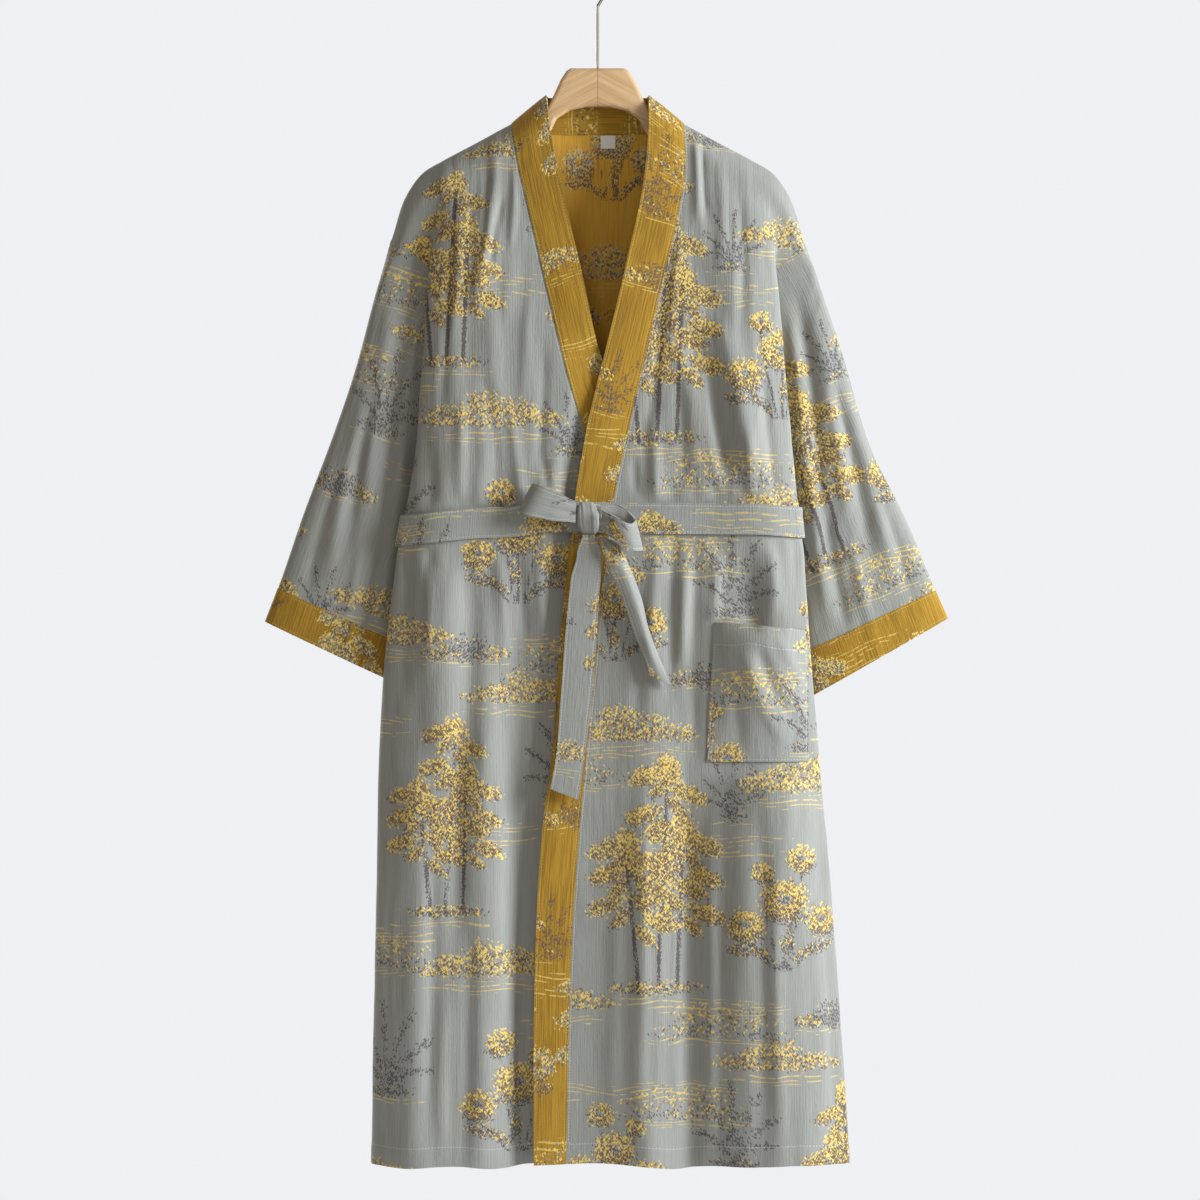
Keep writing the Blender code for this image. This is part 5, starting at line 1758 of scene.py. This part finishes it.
grid = beltGrid()
sew(
    "waistBelt", "belt_waist", "belt", grid, stripPlaces(grid, (210.0, 575.0), True),
    1, (0.97, 0.035), {"top": 2.5, "bottom": 2.5}, wraps=True,
)
for name, node, stops, gatherEnd, crease, length, offset in (
    ("loopRight", "belt_loop_right", 70, 1.0, 0.0, 0.115, (108.0, 405.0)),
    ("loopLeft", "belt_loop_left", 70, 1.0, 0.0, 0.11, (96.0, 360.0)),
    ("tailLong", "belt_tail_long", 90, 0.0, 0.4, 0.30, (398.0, 290.0)),
    ("tailShort", "belt_tail_short", 60, 0.0, 8.0, 0.17, (256.0, 318.0)),
):
    grid = ribbonGrid(bow[name], stops, 10, 1.0, gatherEnd, crease, 3.0 + len(name))
    sew(
        name, node, "belt", grid, stripPlaces(grid, offset),
        1, (0.034, length), {"start": 2.5, "end": 2.5},
    )


def makeKnot():
    # the strip wrapped once round the bow's middle: a rounded block with leaning pleats
    size = bow["knot"]
    beltY = along(cut["bandRise"], "y", beltDown(0.0)) - size["standOff"]
    middle = place(size["x"], beltY - size["depth"] / 2.0, size["down"])
    bpy.ops.object.select_all(action="DESELECT")
    bpy.ops.mesh.primitive_uv_sphere_add(segments=72, ring_count=44, radius=1.0)
    knot = bpy.context.active_object
    knot.name = "beltKnot"
    for vert in knot.data.vertices:
        # fill the ball out towards a block, then narrow it where the strip comes out underneath
        x, y, z = (
            math.copysign(abs(part) ** power, part) for part, power in zip(vert.co, size["square"])
        )
        trim = 1.0 - 0.16 * max(abs(x * z), abs(y * z)) ** 1.5
        narrow = 1.0 - 0.10 * ease(0.0, 1.0, -z) - 0.05 * ease(0.2, 1.0, z)
        line = x + size["lean"] * z - 0.08 * math.sin(2.2 * z)
        pleat = 0.0
        for row in size["pleats"]:
            pleat += row["depth"] * math.exp(-((line - row["at"]) / row["width"]) ** 2)
        depth = size["depth"] / 2.0 - pleat * 0.9 * (1.0 if y < 0.0 else 0.2)
        vert.co = (
            (middle.x + (x * narrow * trim - 0.10 * z) * size["width"] / 2.0) * 0.001,
            (middle.y + y * trim * depth) * 0.001,
            (middle.z + z * size["height"] / 2.0) * 0.001,
        )
    flat = knot.data.uv_layers.active
    flat.name = "flat"
    for loop in knot.data.loops:
        spot = knot.data.vertices[loop.vertex_index].co
        flat.data[loop.index].uv = (spot.x * 1.25 + 0.05, spot.z * 1.2 + 0.11)
    addValues(knot.data, "stitch", [0.05] * len(knot.data.vertices))
    knot.data.materials.append(robeOutside)
    knot.data.shade_smooth()
    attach(knot, "root")
    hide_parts("belt_knot")


makeKnot()
print("bow tied")

grid = labelGrid()
sew("neckLabel", "neck_label", "label", grid, stripPlaces(grid, (0.0, 0.0)), 1, (0.0165, 0.016), {})

for node, material in (("hanger", hangerWood), ("hanger_hook", hookWire)):
    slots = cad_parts[node].material_slots
    if len(slots) == 0:
        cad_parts[node].data.materials.append(material)
    for slot in slots:
        slot.material = material
print("hanger finished")

# Floor, lights and camera
studio = {
    "photoScale": 1.11,
    "photoPixels": 1200,
    "lookAt": (0.0028, 0.0, -0.717),
    "distance": 3.34,
    "sensor": 36.0,
    "lensDistance": 3.3,
    "floor": -1.90,
    "floorSize": 3.2,
    "floorColors": ((0.80, 0.81, 0.82), (0.86, 0.86, 0.87)),
    "roomLight": {"Color": (1.0, 0.90, 0.75), "Strength": 0.26},
    "roomShown": {"Color": (0.86, 0.875, 0.90), "Strength": 1.0},
    "lamps": (
        # name, place, size, power, colour
        ("windowLight", (2.5, -1.0, 0.05), 1.3, 150.0, (0.88, 0.95, 1.0)),
        ("roomFill", (-0.4, -3.2, -0.2), 1.6, 9.5, (1.0, 0.965, 0.91)),
        ("backWindow", (-2.3, 1.7, 0.2), 1.4, 70.0, (0.93, 0.97, 1.0)),
    ),
}


def makeFloor():
    bpy.ops.object.select_all(action="DESELECT")
    spot = (0.0, -0.2, studio["floor"])
    bpy.ops.mesh.primitive_plane_add(size=studio["floorSize"], location=spot)
    floor = bpy.context.active_object
    floor.name = "floor"
    material, nodes, shader = newMaterial("paleFloor", {"Roughness": 0.8})
    cloud = nodes.noise(nodes.objectPlaces(), (0.5, 0.5, 0.5), 2.0)
    nodes.feed(shader, "Base Color", nodes.blend(cloud, *studio["floorColors"]))
    floor.data.materials.append(material)


def makeRoom():
    world = bpy.data.worlds.new("paleRoom")
    bpy.context.scene.world = world
    world.use_nodes = True
    nodes = Nodes(world.node_tree)
    background = world.node_tree.nodes["Background"]
    shown = nodes.add("Background")
    nodes.feedAll(background, studio["roomLight"])
    nodes.feedAll(shown, studio["roomShown"])
    either = nodes.add("MixShader")
    seen = nodes.add("LightPath").outputs["Is Camera Ray"]
    nodes.feedAll(either, {0: seen, 1: background.outputs[0], 2: shown.outputs[0]})
    nodes.feed(world.node_tree.nodes["World Output"], "Surface", either.outputs[0])


def makeLamps():
    for name, spot, size, power, color in studio["lamps"]:
        data = bpy.data.lights.new(name, "AREA")
        data.shape = "SQUARE"
        data.size = size
        data.energy = power
        data.color = color
        lamp = bpy.data.objects.new(name, data)
        bpy.context.collection.objects.link(lamp)
        lamp.location = spot
        aim = Vector(studio["lookAt"]) - Vector(spot)
        lamp.rotation_euler = aim.to_track_quat("-Z", "Y").to_euler()


def makeCamera():
    lens = bpy.data.cameras.new("photoCamera")
    camera = bpy.data.objects.new("photoCamera", lens)
    bpy.context.collection.objects.link(camera)
    wide = studio["photoPixels"] * studio["photoScale"] * 0.001
    lens.sensor_width = studio["sensor"]
    lens.lens = studio["sensor"] * studio["lensDistance"] / wide
    aim = Vector(studio["lookAt"])
    camera.location = (aim.x, aim.y - studio["distance"], aim.z)
    camera.rotation_euler = (math.radians(90.0), 0.0, 0.0)
    bpy.context.scene.camera = camera
    bpy.context.scene.view_settings.view_transform = "Standard"


makeFloor()
makeRoom()
makeLamps()
makeCamera()
print("studio set")
